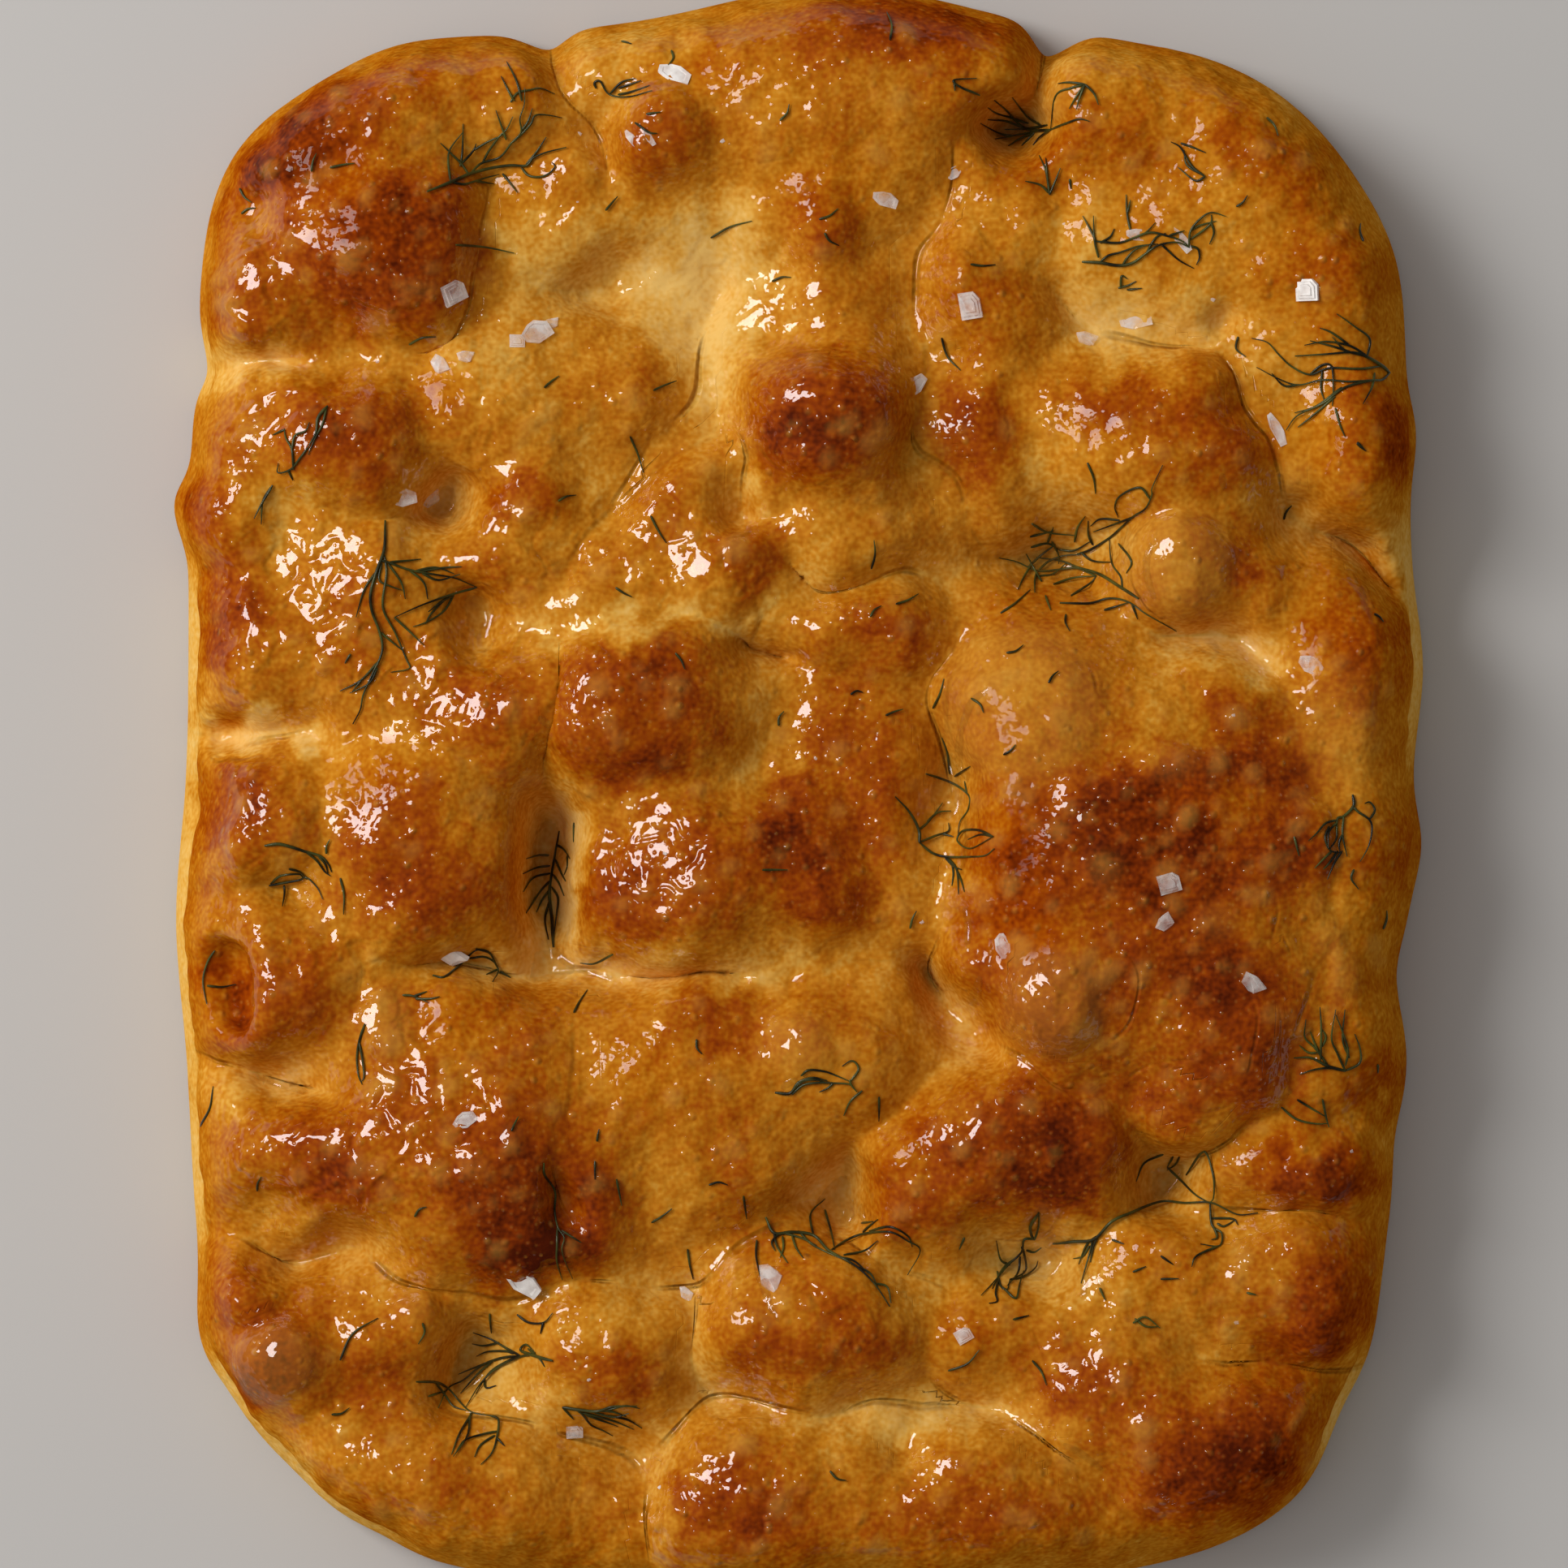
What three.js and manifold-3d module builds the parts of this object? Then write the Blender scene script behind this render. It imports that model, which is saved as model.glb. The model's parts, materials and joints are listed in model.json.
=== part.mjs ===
// A whole focaccia: one uncut, dimpled loaf baked in a rectangular pan, with flakes of salt and
// threads of dill on its crust, and the larger sprigs of dill lying on it as pieces of their own.
// Millimetres, +Z up. X is the loaf's width and Y its length. It rests on its flat underside, and
// the origin is the middle of that underside.

import * as THREE from 'three';
import { mergeVertices } from 'three/addons/utils/BufferGeometryUtils.js';
import Module from 'manifold-3d';

const wasm = await Module();
wasm.setup();

// ---------------------------------------------------------------------------------------------
// Driving dimensions

const HALF_WIDTH = 97.6; // half of the pan's width
const HALF_LENGTH = 123.2; // half of the pan's length
const CORNER_POWER = 4.6; // how square the corners are: 2 is an ellipse, a large number a rectangle
const MIDDLE_Y = -1.5; // where the pan's middle lies on Y while the loaf is being shaped

const RIM_HEIGHT = 12; // height at which the crust turns over into the side wall
const SHOULDER = 10.5; // how far in from the rim the top reaches its full height
const SHOULDER_POWER = 2.3; // roundness of that shoulder
const WIDEST_HEIGHT = 2.6; // height at which the wall stands out furthest
const WALL_FLARE = 2.4; // how far the wall stands outside the rim there
const WALL_TUCK = 1.6; // how far the wall pulls in again below that
const BURIED = 2.1; // how far the shaped body reaches below the underside before it is cut flat

const DOUGH_LEVEL = 25; // the lowest level between the lobes
const LOBE_FALL = 4.6; // how far a lobe has fallen from its crown at its half length or half width
const LOBE_POWER = 2.2; // flatness of a lobe's crown
const BLEND = 2.4; // how softly neighbouring lobes run into each other
const POKE_POWER = 2.6; // steepness of a finger hole's sides
const CREASE_POWER = 1.6; // sharpness of a crease
const CREASE_WIDTH = 1.35; // the dough pulls each crease this much wider
const CREASE_DEPTH = 0.62; // and fills it to this share of its depth
const CREASE_STEPS = 6; // straight stretches from one point of a crease to the next
const SWELLING_POWER = 4; // steepness of the edge of a knob or a blister
const THINNEST = 9; // no finger hole goes lower than this
const SPREAD = 1.018; // the tables' places lie this much further out than those on the crust

const COLUMNS = 48; // faces across the loaf
const ROWS = 62; // faces along the loaf
const WALL_ROWS = 3; // faces up the wall
const FINE_SHARE = 0.17; // share of the rings of faces that lie in the shoulder
const SKY = 100; // a height well above the loaf

const FLAKE_THICKNESS = 1.5; // a salt flake
const FLAKE_LIFT = 0.2; // share of that thickness by which its middle stands above the crust
const FLAKE_TILT = 0.22; // radians
const SNIPPET_HALF_WIDTH = 0.4; // a short thread of dill, fused to the crust
const SNIPPET_THICKNESS = 0.9; // half of it is sunk in the crust
const SNIPPET_BEND = 40; // degrees, the most that one turns along its length
const SPRIG_HALF_WIDTH = 0.45; // a stem of dill
const SPRIG_THICKNESS = 0.7;
const SPRIG_GAP = 0.3; // a sprig's clearance over the crust
const THREAD_STEPS = 3; // straight stretches in a side thread
const THREAD_LENGTH = 0.5; // the lowest side thread's length, as a share of the stem's
const THREAD_SHORTENING = 0.25; // and how much of that share is lost by the tip
const THREAD_BEND = 0.5; // share of its spread that a side thread turns back again
const THREAD_WIDTH = 0.8; // a side thread's width, as a share of the stem's
const GROUND_STEP = 0.5; // how closely the crust under a sprig is felt out
const LIFT_STEP = 0.1; // a sprig is raised by this until it is clear of flakes and threads
const GOLDEN_ANGLE = 2.4; // radians, spreads small turns evenly

// Swellings and notches of the outline: x, y, how far out (in if below 0), how wide
const EDGE_FORMS = [
  [40.5, 117, -12, 4.5], [6, 122, 7, 26], [-41, 118, -5, 4.5], [-64, 119, 1.6, 12],
  [-92, 98, 4.2, 20], [-96, 69, -2.2, 5], [-98, 45, 2.8, 5.5], [-98, -20, 2, 18],
  [54, 120, -0.4, 8], [96, 84, 2.4, 15], [98, 57, 1.6, 7], [98, 20, 1.9, 12],
  [98, -8, 1.6, 7], [97, -30, -2.4, 9], [95, -56, -1.2, 8], [94, -75, -2.8, 22],
  [86, -100, -2.4, 9], [-96, -86, 2.8, 9], [-80, -110, -2.2, 12], [-67, -118, -1.2, 7],
  [0, -125, 3.3, 40],
];

// Risen lobes of dough: x, y, half length, half width, turn in degrees, height of the crown.
// They are told from the loaf's far end to its near end.
const LOBES = [
  [-72, 107, 22, 13, 18, 33], [-45, 112, 10, 9, 0, 29.5], [-29, 120, 11, 8, 0, 28],
  [-22, 106, 8, 7, 0, 32], [10, 112, 28, 15, 0, 33], [50, 110, 13, 11, 0, 30.5],
  [73, 102, 17, 15, -35, 32],
  [-67, 88, 14, 12, 0, 36.5], [-86, 80, 10, 11, 0, 31], [-36, 95, 13, 10, 0, 27],
  [3, 92, 9, 9, 0, 31], [6, 79, 11, 9, 0, 28.5], [30, 82, 10, 15, 8, 31.5],
  [58, 88, 17, 11, -8, 29.5],
  [84, 83, 13, 14, 0, 31],
  [-75, 56, 13, 10, 0, 35], [-92, 47, 8, 13, 0, 30], [-48, 62, 16, 12, -20, 30.5],
  [-27, 62, 12, 10, 0, 29.5], [-43, 48, 9, 7, 0, 31], [5, 61, 11, 9, 0, 38.5],
  [4, 52, 14, 12, 0, 32], [28, 57, 10, 12, 0, 31], [59, 56, 18, 12, -12, 34.5],
  [90, 56, 10, 13, 0, 31.5],
  [-89, 26, 9, 11, 0, 30], [-69, 25, 17, 14, 0, 35.2], [-50, 37, 10, 8, 0, 31],
  [-20, 42, 17, 12, 0, 33], [-30, 31, 12, 6, 10, 30.5], [9, 40, 12, 7, 0, 31],
  [12, 27, 14, 7, -8, 30.5], [61, 37, 9, 9, 0, 34.5], [73, 34, 10, 9, 0, 31],
  [88, 20, 10, 16, 0, 32],
  [-27, 13, 14, 13, 0, 36.5], [-46, 12, 15, 10, -20, 33.4], [-86, -5, 10, 12, 0, 33.5],
  [-62, -9, 16, 15, 0, 35], [9, 6, 14, 16, 0, 27], [-17, -12, 21, 13, 0, 34.5],
  [2, -17, 9, 8, 0, 31.5], [37, 14, 14, 12, 0, 33.5], [65, 14, 15, 10, 0, 32],
  [55, -13, 25, 22, -20, 41], [41, -10, 11, 15, 0, 38.4], [44, -30, 15, 13, 0, 39.3],
  [68, -36, 14, 17, 15, 38.5],
  [91, -10, 10, 17, 0, 33], [89, -34, 10, 14, 0, 32.5],
  [-84, -30, 13, 12, 0, 34.5], [-58, -38, 14, 11, 0, 33], [-86, -58, 9, 9, 0, 30.6],
  [-67, -58, 16, 12, 0, 36.2],
  [-50, -58, 19, 18, -20, 37], [-18, -46, 21, 15, 0, 33.5], [5, -42, 13, 11, 0, 33.5],
  [-12, -61, 17, 8, 0, 31], [31, -55, 20, 9, 34, 36.5], [45, -57, 10, 9, 30, 35],
  [82, -59, 14, 8, 0, 31.5], [80, -79, 14, 11, 0, 31.5], [60, -76, 14, 9, 0, 30],
  [26, -73, 12, 6, 0, 28.5],
  [-90, -80, 8, 7, 0, 31], [-82, -91, 10, 8, 0, 32.5], [-66, -86, 10, 10, 0, 31],
  [-32, -89, 13, 11, 0, 32.5], [0, -84, 15, 11, 0, 35.5], [27, -87, 11, 9, 0, 29.5],
  [46, -90, 13, 10, -20, 31], [63, -103, 18, 13, -18, 33.5], [-60, -111, 25, 12, -16, 32.5],
  [-6, -113, 19, 14, 0, 33.5], [27, -113, 22, 12, 0, 33],
];

// Holes poked by fingers, and low places: x, y, half length, half width, turn in degrees, depth
const POKES = [
  [35, 107, 6, 4.5, 0, 14], [-16, 82, 9, 13, -35, 4], [-32, 82, 9, 6, 0, 6], [-86, 93, 6, 5, 0, 4],
  [-89, 69.5, 9, 3.2, 0, 6], [67, 78, 3, 3, 0, 3], [-57, 47, 5, 3, 15, 8], [-10, 46, 5, 3, -20, 5],
  [42, 37, 12, 7, 8, 11], [90, 37, 8, 3.5, -35, 8], [-53, 28, 7, 5, -40, 8], [-6, 24, 6, 4, 0, 6],
  [66, 24, 12, 4.5, -18, 6], [-92, 10, 7, 3.5, 10, 8], [-41, -11, 4.5, 14, 0, 20],
  [23, -3, 5, 14, -6, 8], [-83, -13, 7, 5, 0, 5], [23, -32, 4, 9, 32, 11], [-92, -30, 5, 8, 10, 5],
  [-28, -29, 16, 3.5, 0, 6], [-52, -28, 8, 4, 0, 6], [-83, -46, 9, 4, -12, 6],
  [58, -61, 7, 5, 25, 10], [6, -65, 7, 6, 0, 11], [-37.5, -64.5, 2.8, 4.6, 8, 5],
  [37, -75, 9, 6.5, 0, 8], [-80, -73, 13, 4, 0, 5], [-52, -91, 9, 6, 35, 9],
];

// Creases between lobes: how wide, how deep, then the points they pass through
const CREASES = [
  [3.4, 3.4, [25, 104], [23.5, 96], [18.5, 87], [18.5, 79], [20, 68], [19.5, 58], [24, 49], [31, 40]],
  [3, 2.2, [28, 95], [35, 86], [41, 80]],
  [2.6, 4.5, [41, 79], [47, 74], [57, 72], [66, 69], [73, 61], [77, 52], [80, 46]],
  [3.5, 8, [80, 45], [86, 39], [100, 31]],
  [2.5, 10, [40.5, 124], [38, 112], [34, 107]],
  [2.8, 5, [-41, 122], [-37, 112], [-30, 101]],
  [3, 3.5, [-60, 70], [-52, 84], [-50, 98]],
  [4, 5, [-31, 46], [-24, 56], [-17, 66], [-12, 80]],
  [2.5, 3.5, [-2, 44], [-9, 48], [-8, 56], [-13, 62]],
  [2.2, 2, [-38, 37], [-33, 44], [-22, 51.5], [-12, 58]],
  [2.5, 4, [-2, 35], [5, 33], [14, 35], [24, 33]],
  [3.2, 6, [26, 25], [21, 13], [24, 1], [27, -9], [24, -19], [22, -28], [28, -39]],
  [2.5, 3, [-38, 24], [-40, 8]],
  [3, 4.5, [-100, 9], [-90, 8.5], [-80, 11]],
  [2.5, 1.2, [-78, 2], [-76, -8], [-72, -20], [-70, -32]],
  [4.6, 3.6, [-60, -30], [-45, -27.5], [-30, -29], [-20, -28.5]],
  [5, 1.2, [-14, -27.5], [0, -29.5], [18, -26]],
  [2.4, 1.6, [82.5, -12], [83.5, -20], [82, -32], [79, -42]],
  [2.6, 4, [79, -43], [75, -51], [66, -57], [54, -55]],
  [2.5, 4, [30, -40], [40, -43], [50, -51]],
  [3, 5, [-98, -42], [-84, -46], [-72, -47]],
  [2.5, 1, [-36, -32], [-36, -45], [-37, -58]],
  [2.2, 3.5, [56, -67], [70, -67], [96, -67]],
  [3.2, 4.4, [-98, -70], [-84, -73], [-68, -76], [-50, -80], [-30, -79], [-17, -79], [-8, -72],
   [5, -71], [15, -76], [24, -79]],
  [2.8, 4.2, [-18, -80], [-16, -92], [-12, -97]],
  [2.8, 4.6, [-58, -99], [-42, -102], [-27, -108], [-23, -127]],
  [3.2, 4, [-27, -106], [-15, -98], [0, -96], [12, -100], [25, -99], [36, -102], [50, -110]],
  [2.8, 4, [21, -92], [30, -99]],
  [2.8, 5, [64, -90], [80, -93], [93, -92]],
];

// Knobs and large blisters raised out of the lobes, in the same columns
const SWELLINGS = [
  [4.5, 61, 11, 9.8, 0, 1.8], [-26, 14.5, 12.5, 12, 0, 1.2], [-22, 106, 6, 5.5, 0, 0.8],
  [-67, 88, 13, 11, 0, 0.8], [-20, -12, 15, 11, 0, 0.7], [0, -84, 13, 10, 0, 0.7],
  [-82, -29, 6, 8.5, 0, 1.4], [60, 37, 7.5, 7.2, 0, 2.1], [35.5, 14, 11, 11, 0, 2.5],
  [-84, -91, 6, 5.4, 0, 2], [40.5, -33, 6.8, 7.4, 0, 2.6], [0, -40, 5.2, 4.4, 0, 1.1],
];

// Flakes of salt: x, y, length, width, turn in degrees
const FLAKES = [
  [-20, 114.5, 5.2, 2.8, -18], [80.5, 80, 3.6, 3.4, 3], [27, 77.5, 3.3, 4.2, 10],
  [18.5, 65, 4, 2.2, 50], [53.5, 75.5, 5, 2.5, 15], [-55, 79.5, 4, 3.4, 20],
  [-42, 73.5, 4.5, 3.5, 35], [-57, 68, 3.5, 2.5, -30], [-63, 47, 4, 2.6, 10],
  [-59, 47.5, 3.4, 2.6, 60], [81, 20.5, 4, 2.6, -20], [58, -14, 3.4, 3, 15], [57.5, -20, 3, 2.4, 70],
  [32, -24, 2.4, 4, 5], [71.5, -30, 4, 2.6, -25], [-55.4, -25.8, 5, 3.2, -24],
  [-53, -51.5, 3.6, 2.4, 40], [-44, -77.6, 6, 3.2, -36], [-4.5, -77, 3.4, 5, 8],
  [-36, -101.5, 2.6, 2.6, 0],
];

// Short threads of dill fused to the crust: x, y, heading in degrees, length
const SNIPPETS = [
  [-11, 90, 20, 8], [-33, 111.5, 0, 9], [-50, 86.5, -5, 13], [-60, 72, 15, 4.5],
  [39.5, 98, -75, 7], [62, 100, -50, 6], [24, 70, -60, 7], [-26, 54, -70, 7], [-21.5, 65, 25, 4],
  [-85.5, 45.5, -105, 8], [-22.5, 42, -60, 6], [11.5, 38, 85, 5], [24, 8, -60, 11],
  [-92.5, -28, 100, 8], [-52, -26, 10, 8], [82, -50, -25, 8], [-70, -41, 95, 8],
  [-95, -50, 70, 7], [-70, -86.5, 48, 10], [26, -90, 35, 7], [38, -92, -60, 5], [55, -84, -20, 5],
  [-17.5, -75, -80, 6], [-51, -102, 40, 8],
];

// Larger sprigs of dill. x and y are the cut end of the stem, heading is where it points and bend
// how far it turns on the way, in degrees. Side threads leave it on both sides at the spread.
const SPRIGS = [
  { x: -57.5, y: 96.5, heading: 40, bend: 22, length: 26, threads: 6, spread: 38 },
  { x: 25, y: 113, heading: -35, bend: 45, length: 21, threads: 6, spread: 42 },
  { x: 45, y: 86, heading: -8, bend: 34, length: 23, threads: 6, spread: 52 },
  { x: 94, y: 67.5, heading: 172, bend: 14, length: 21, threads: 6, spread: 34 },
  { x: -75, y: 61, heading: 252, bend: -24, length: 13, threads: 5, spread: 48 },
  { x: -66, y: 43, heading: -88, bend: -18, length: 31, threads: 6, spread: 56 },
  { x: 33, y: 37, heading: -2, bend: 40, length: 27, threads: 7, spread: 62 },
  { x: -40.5, y: -23, heading: 93, bend: -6, length: 21, threads: 5, spread: 30 },
  { x: 16, y: -4, heading: -30, bend: 40, length: 15, threads: 5, spread: 58 },
  { x: 87, y: 0, heading: -88, bend: -26, length: 13, threads: 5, spread: 36 },
  { x: 88, y: -44, heading: 165, bend: -40, length: 12, threads: 5, spread: 50 },
  { x: -74, y: -12, heading: 140, bend: 40, length: 12, threads: 4, spread: 36 },
  { x: -3, y: -47, heading: 25, bend: -34, length: 12, threads: 3, spread: 26 },
  { x: -5, y: -70, heading: 8, bend: -44, length: 25, threads: 7, spread: 42 },
  { x: 38, y: -67, heading: -110, bend: -30, length: 15, threads: 6, spread: 36 },
  { x: 70, y: -67, heading: 158, bend: 44, length: 33, threads: 6, spread: 40 },
  { x: -39, y: -90, heading: 184, bend: 26, length: 21, threads: 7, spread: 44 },
  { x: -38, y: -97.5, heading: -8, bend: 14, length: 13, threads: 5, spread: 26 },
];

// ---------------------------------------------------------------------------------------------
// Colours and finish

const CRUST = { color: '#b9701f', roughness: 0.35, metalness: 0 };
const DILL = { color: '#37401c', roughness: 0.6, metalness: 0 };

// ---------------------------------------------------------------------------------------------
// The loaf's form, as functions

const radians = THREE.MathUtils.degToRad;

// Distance from the middle to the outline, in the direction of an angle
function outlineRadius(angle) {
  const across = Math.abs(Math.cos(angle)) / HALF_WIDTH;
  const along = Math.abs(Math.sin(angle)) / HALF_LENGTH;
  const plain = (across ** CORNER_POWER + along ** CORNER_POWER) ** (-1 / CORNER_POWER);
  const x = plain * Math.cos(angle);
  const y = plain * Math.sin(angle) + MIDDLE_Y;
  let radius = plain;
  for (const [formX, formY, out, width] of EDGE_FORMS) {
    radius += out * Math.exp(-((x - formX) ** 2 + (y - formY) ** 2) / width ** 2);
  }
  return radius;
}

// Distance from the centre of an oval, where its edge is at 1
function ovalDistance(x, y, [centreX, centreY, halfLength, halfWidth, turn]) {
  const cos = Math.cos(radians(turn));
  const sin = Math.sin(radians(turn));
  const along = ((x - centreX) * cos + (y - centreY) * sin) / halfLength;
  const across = ((y - centreY) * cos - (x - centreX) * sin) / halfWidth;
  return Math.hypot(along, across);
}

// A curved line through the points of a crease
function roundedLine(points) {
  const corners = points.map(([x, y]) => new THREE.Vector2(x, y));
  return new THREE.SplineCurve(corners).getPoints(CREASE_STEPS * (points.length - 1));
}

const creases = CREASES.map(([width, depth, ...points]) => ({
  width: CREASE_WIDTH * width,
  depth: CREASE_DEPTH * depth,
  line: roundedLine(points),
}));

// Distance from a line through several points
function lineDistance(x, y, line) {
  let nearest = Infinity;
  for (let i = 1; i < line.length; i += 1) {
    const start = line[i - 1];
    const stepX = line[i].x - start.x;
    const stepY = line[i].y - start.y;
    const share = ((x - start.x) * stepX + (y - start.y) * stepY) / (stepX ** 2 + stepY ** 2);
    const t = THREE.MathUtils.clamp(share, 0, 1);
    nearest = Math.min(nearest, Math.hypot(x - start.x - t * stepX, y - start.y - t * stepY));
  }
  return nearest;
}

// Height of the dough away from the rim: lobes that run together, with knobs and blisters on
// them, less the pokes and creases
function doughHeight(crustX, crustY) {
  const x = crustX * SPREAD;
  const y = crustY * SPREAD;
  let sum = 1;
  for (const lobe of LOBES) {
    const crown = lobe[5] - DOUGH_LEVEL;
    const height = crown - LOBE_FALL * ovalDistance(x, y, lobe) ** LOBE_POWER;
    sum += Math.exp(height / BLEND);
  }
  let height = DOUGH_LEVEL + BLEND * Math.log(sum);
  for (const swelling of SWELLINGS) {
    height += swelling[5] * Math.exp(-(ovalDistance(x, y, swelling) ** SWELLING_POWER));
  }
  for (const poke of POKES) {
    height -= poke[5] * Math.exp(-(ovalDistance(x, y, poke) ** POKE_POWER));
  }
  for (const { width, depth, line } of creases) {
    height -= depth * Math.exp(-((lineDistance(x, y, line) / width) ** CREASE_POWER));
  }
  return Math.max(height, THINNEST);
}

// Height of the top crust: the dough, rounded down to the rim near the outline
function crustHeight(x, y) {
  const inward = outlineRadius(Math.atan2(y - MIDDLE_Y, x)) - WALL_FLARE - Math.hypot(x, y - MIDDLE_Y);
  const share = THREE.MathUtils.clamp(inward / SHOULDER, 0, 1);
  const rounding = (1 - (1 - share) ** SHOULDER_POWER) ** (1 / SHOULDER_POWER);
  return RIM_HEIGHT + (doughHeight(x, y) - RIM_HEIGHT) * rounding;
}

// ---------------------------------------------------------------------------------------------
// Joining and cutting

function toSolid(geometry) {
  const bare = geometry.clone();
  bare.deleteAttribute('normal');
  bare.deleteAttribute('uv');
  const merged = mergeVertices(bare, 1e-4);
  return new wasm.Manifold(new wasm.Mesh({
    numProp: 3,
    vertProperties: merged.attributes.position.array,
    triVerts: Uint32Array.from(merged.index.array),
  }));
}

function toGeometry(solid) {
  const mesh = solid.getMesh();
  const geometry = new THREE.BufferGeometry();
  geometry.setAttribute('position', new THREE.BufferAttribute(mesh.vertProperties, 3));
  geometry.setIndex(new THREE.BufferAttribute(mesh.triVerts, 1));
  geometry.computeVertexNormals();
  return geometry;
}

// ---------------------------------------------------------------------------------------------
// The bare loaf: a box of many faces, drawn out to the outline and raised to the crust

// How far inside the outline the side wall stands at a height
function wallInset(height) {
  const above = (height - WIDEST_HEIGHT) / (RIM_HEIGHT - WIDEST_HEIGHT);
  const below = (WIDEST_HEIGHT - height) / WIDEST_HEIGHT;
  const flare = WALL_FLARE * THREE.MathUtils.clamp(above, 0, 1) ** 2;
  return flare + WALL_TUCK * THREE.MathUtils.clamp(below, 0, 1) ** 2;
}

// How far out a ring of faces lies, as a share of the way to the rim: the rings are even in the
// middle and draw closer together in the shoulder, where the crust turns down
function ringReach(ring) {
  const middleReach = 1 - SHOULDER / HALF_WIDTH;
  if (ring < 1 - FINE_SHARE) {
    return middleReach * ring / (1 - FINE_SHARE);
  }
  const left = (1 - ring) / FINE_SHARE * Math.PI / 2;
  return 1 - (1 - middleReach) * (1 - Math.cos(left));
}

function shapeLoaf() {
  const box = new THREE.BoxGeometry(2, 2, 1, COLUMNS, ROWS, WALL_ROWS);
  const position = box.attributes.position;
  for (let i = 0; i < position.count; i += 1) {
    const u = position.getX(i);
    const v = position.getY(i);
    const level = position.getZ(i) + 0.5;
    const ring = Math.max(Math.abs(u), Math.abs(v));
    const reach = ringReach(ring);
    const angle = Math.atan2(v * HALF_LENGTH, u * HALF_WIDTH);
    const wallHeight = THREE.MathUtils.lerp(-BURIED, RIM_HEIGHT, level);
    const squareRadius = Math.hypot(u * HALF_WIDTH, v * HALF_LENGTH) / Math.max(ring, 1e-9);
    const wallRadius = outlineRadius(angle) - wallInset(wallHeight);
    const radius = reach * THREE.MathUtils.lerp(squareRadius, wallRadius, reach ** 2);
    const x = radius * Math.cos(angle);
    const y = radius * Math.sin(angle) + MIDDLE_Y;
    const onTop = level > 1 - 1e-6;
    position.setXYZ(i, x, y, onTop ? crustHeight(x, y) : wallHeight);
  }
  return toSolid(box);
}

function cutUnderside(solid) {
  const depth = 4 * BURIED;
  const slab = new THREE.BoxGeometry(4 * HALF_WIDTH, 4 * HALF_LENGTH, depth);
  slab.translate(0, 0, -depth / 2);
  return solid.subtract(toSolid(slab));
}

const bareLoaf = cutUnderside(shapeLoaf());
const bareMesh = new THREE.Mesh(toGeometry(bareLoaf));
const downward = new THREE.Vector3(0, 0, -1);
const ray = new THREE.Raycaster();

// Height of the finished faces of the crust, which differs a little from crustHeight
function faceHeight(x, y) {
  ray.set(new THREE.Vector3(x, y, SKY), downward);
  const hits = ray.intersectObject(bareMesh);
  return hits.length > 0 ? hits[0].point.z : RIM_HEIGHT;
}

// ---------------------------------------------------------------------------------------------
// Salt flakes and short dill threads, fused to the crust

function shapeFlake([x, y, length, width, turn], index) {
  const flake = new THREE.BoxGeometry(length, width, FLAKE_THICKNESS);
  flake.rotateX(FLAKE_TILT * Math.sin(index * GOLDEN_ANGLE));
  flake.rotateY(FLAKE_TILT * Math.cos(index * GOLDEN_ANGLE));
  flake.rotateZ(radians(turn));
  const ground = faceHeight(x / SPREAD, y / SPREAD);
  flake.translate(x / SPREAD, y / SPREAD, ground + FLAKE_LIFT * FLAKE_THICKNESS);
  return toSolid(flake);
}

// A strand of dill in plan: where it is, and which way it points, at a share t of its length.
// It sets out from x, y in its heading and turns evenly, by its bend, along its length.
function strandAt({ x, y, heading, bend, length }, t) {
  const halfTurn = radians(bend * t) / 2;
  const chord = Math.abs(halfTurn) < 1e-6 ? 1 : Math.sin(halfTurn) / halfTurn;
  const course = radians(heading) + halfTurn;
  return {
    x: x + length * t * chord * Math.cos(course),
    y: y + length * t * chord * Math.sin(course),
    direction: radians(heading + bend * t),
  };
}

// The point at some distance to the left of a place on a strand, or to its right if below 0
function beside({ x, y, direction }, offset) {
  return new THREE.Vector2(x - offset * Math.sin(direction), y + offset * Math.cos(direction));
}

// The outline of one strand: out along its left, round its tip and back along its right
function strandOutline(strand, halfWidth, steps) {
  const left = [];
  const right = [];
  for (let i = 0; i < steps; i += 1) {
    const place = strandAt(strand, i / steps);
    left.push(beside(place, halfWidth));
    right.unshift(beside(place, -halfWidth));
  }
  return [...left, beside(strandAt(strand, 1), 0), ...right];
}

// Heights of the crust between two corners of a plan, ends left out
function feelGround(a, b) {
  const count = Math.ceil(Math.hypot(b.x - a.x, b.y - a.y) / GROUND_STEP);
  const ground = [];
  for (let n = 1; n < count; n += 1) {
    const t = n / count;
    const x = THREE.MathUtils.lerp(a.x, b.x, t);
    const y = THREE.MathUtils.lerp(a.y, b.y, t);
    ground.push({ t, height: faceHeight(x, y) });
  }
  return ground;
}

// The corners and edges of a flat plan, each edge once, with the ground heights under it
function surveyGround(flat) {
  const position = flat.attributes.position;
  const corners = new Map();
  const edges = new Map();
  const cornerAt = (i) => {
    const x = position.getX(i);
    const y = position.getY(i);
    const name = `${x.toFixed(4)} ${y.toFixed(4)}`;
    if (!corners.has(name)) {
      corners.set(name, { name, x, y, height: faceHeight(x, y) });
    }
    return corners.get(name);
  };
  for (let i = 0; i < position.count; i += 3) {
    for (let k = 0; k < 3; k += 1) {
      const a = cornerAt(i + k);
      const b = cornerAt(i + ((k + 1) % 3));
      const name = [a.name, b.name].sort().join(' to ');
      if (!edges.has(name)) {
        edges.set(name, { a, b, ground: feelGround(a, b) });
      }
    }
  }
  return { cornerAt, edges: [...edges.values()] };
}

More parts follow.
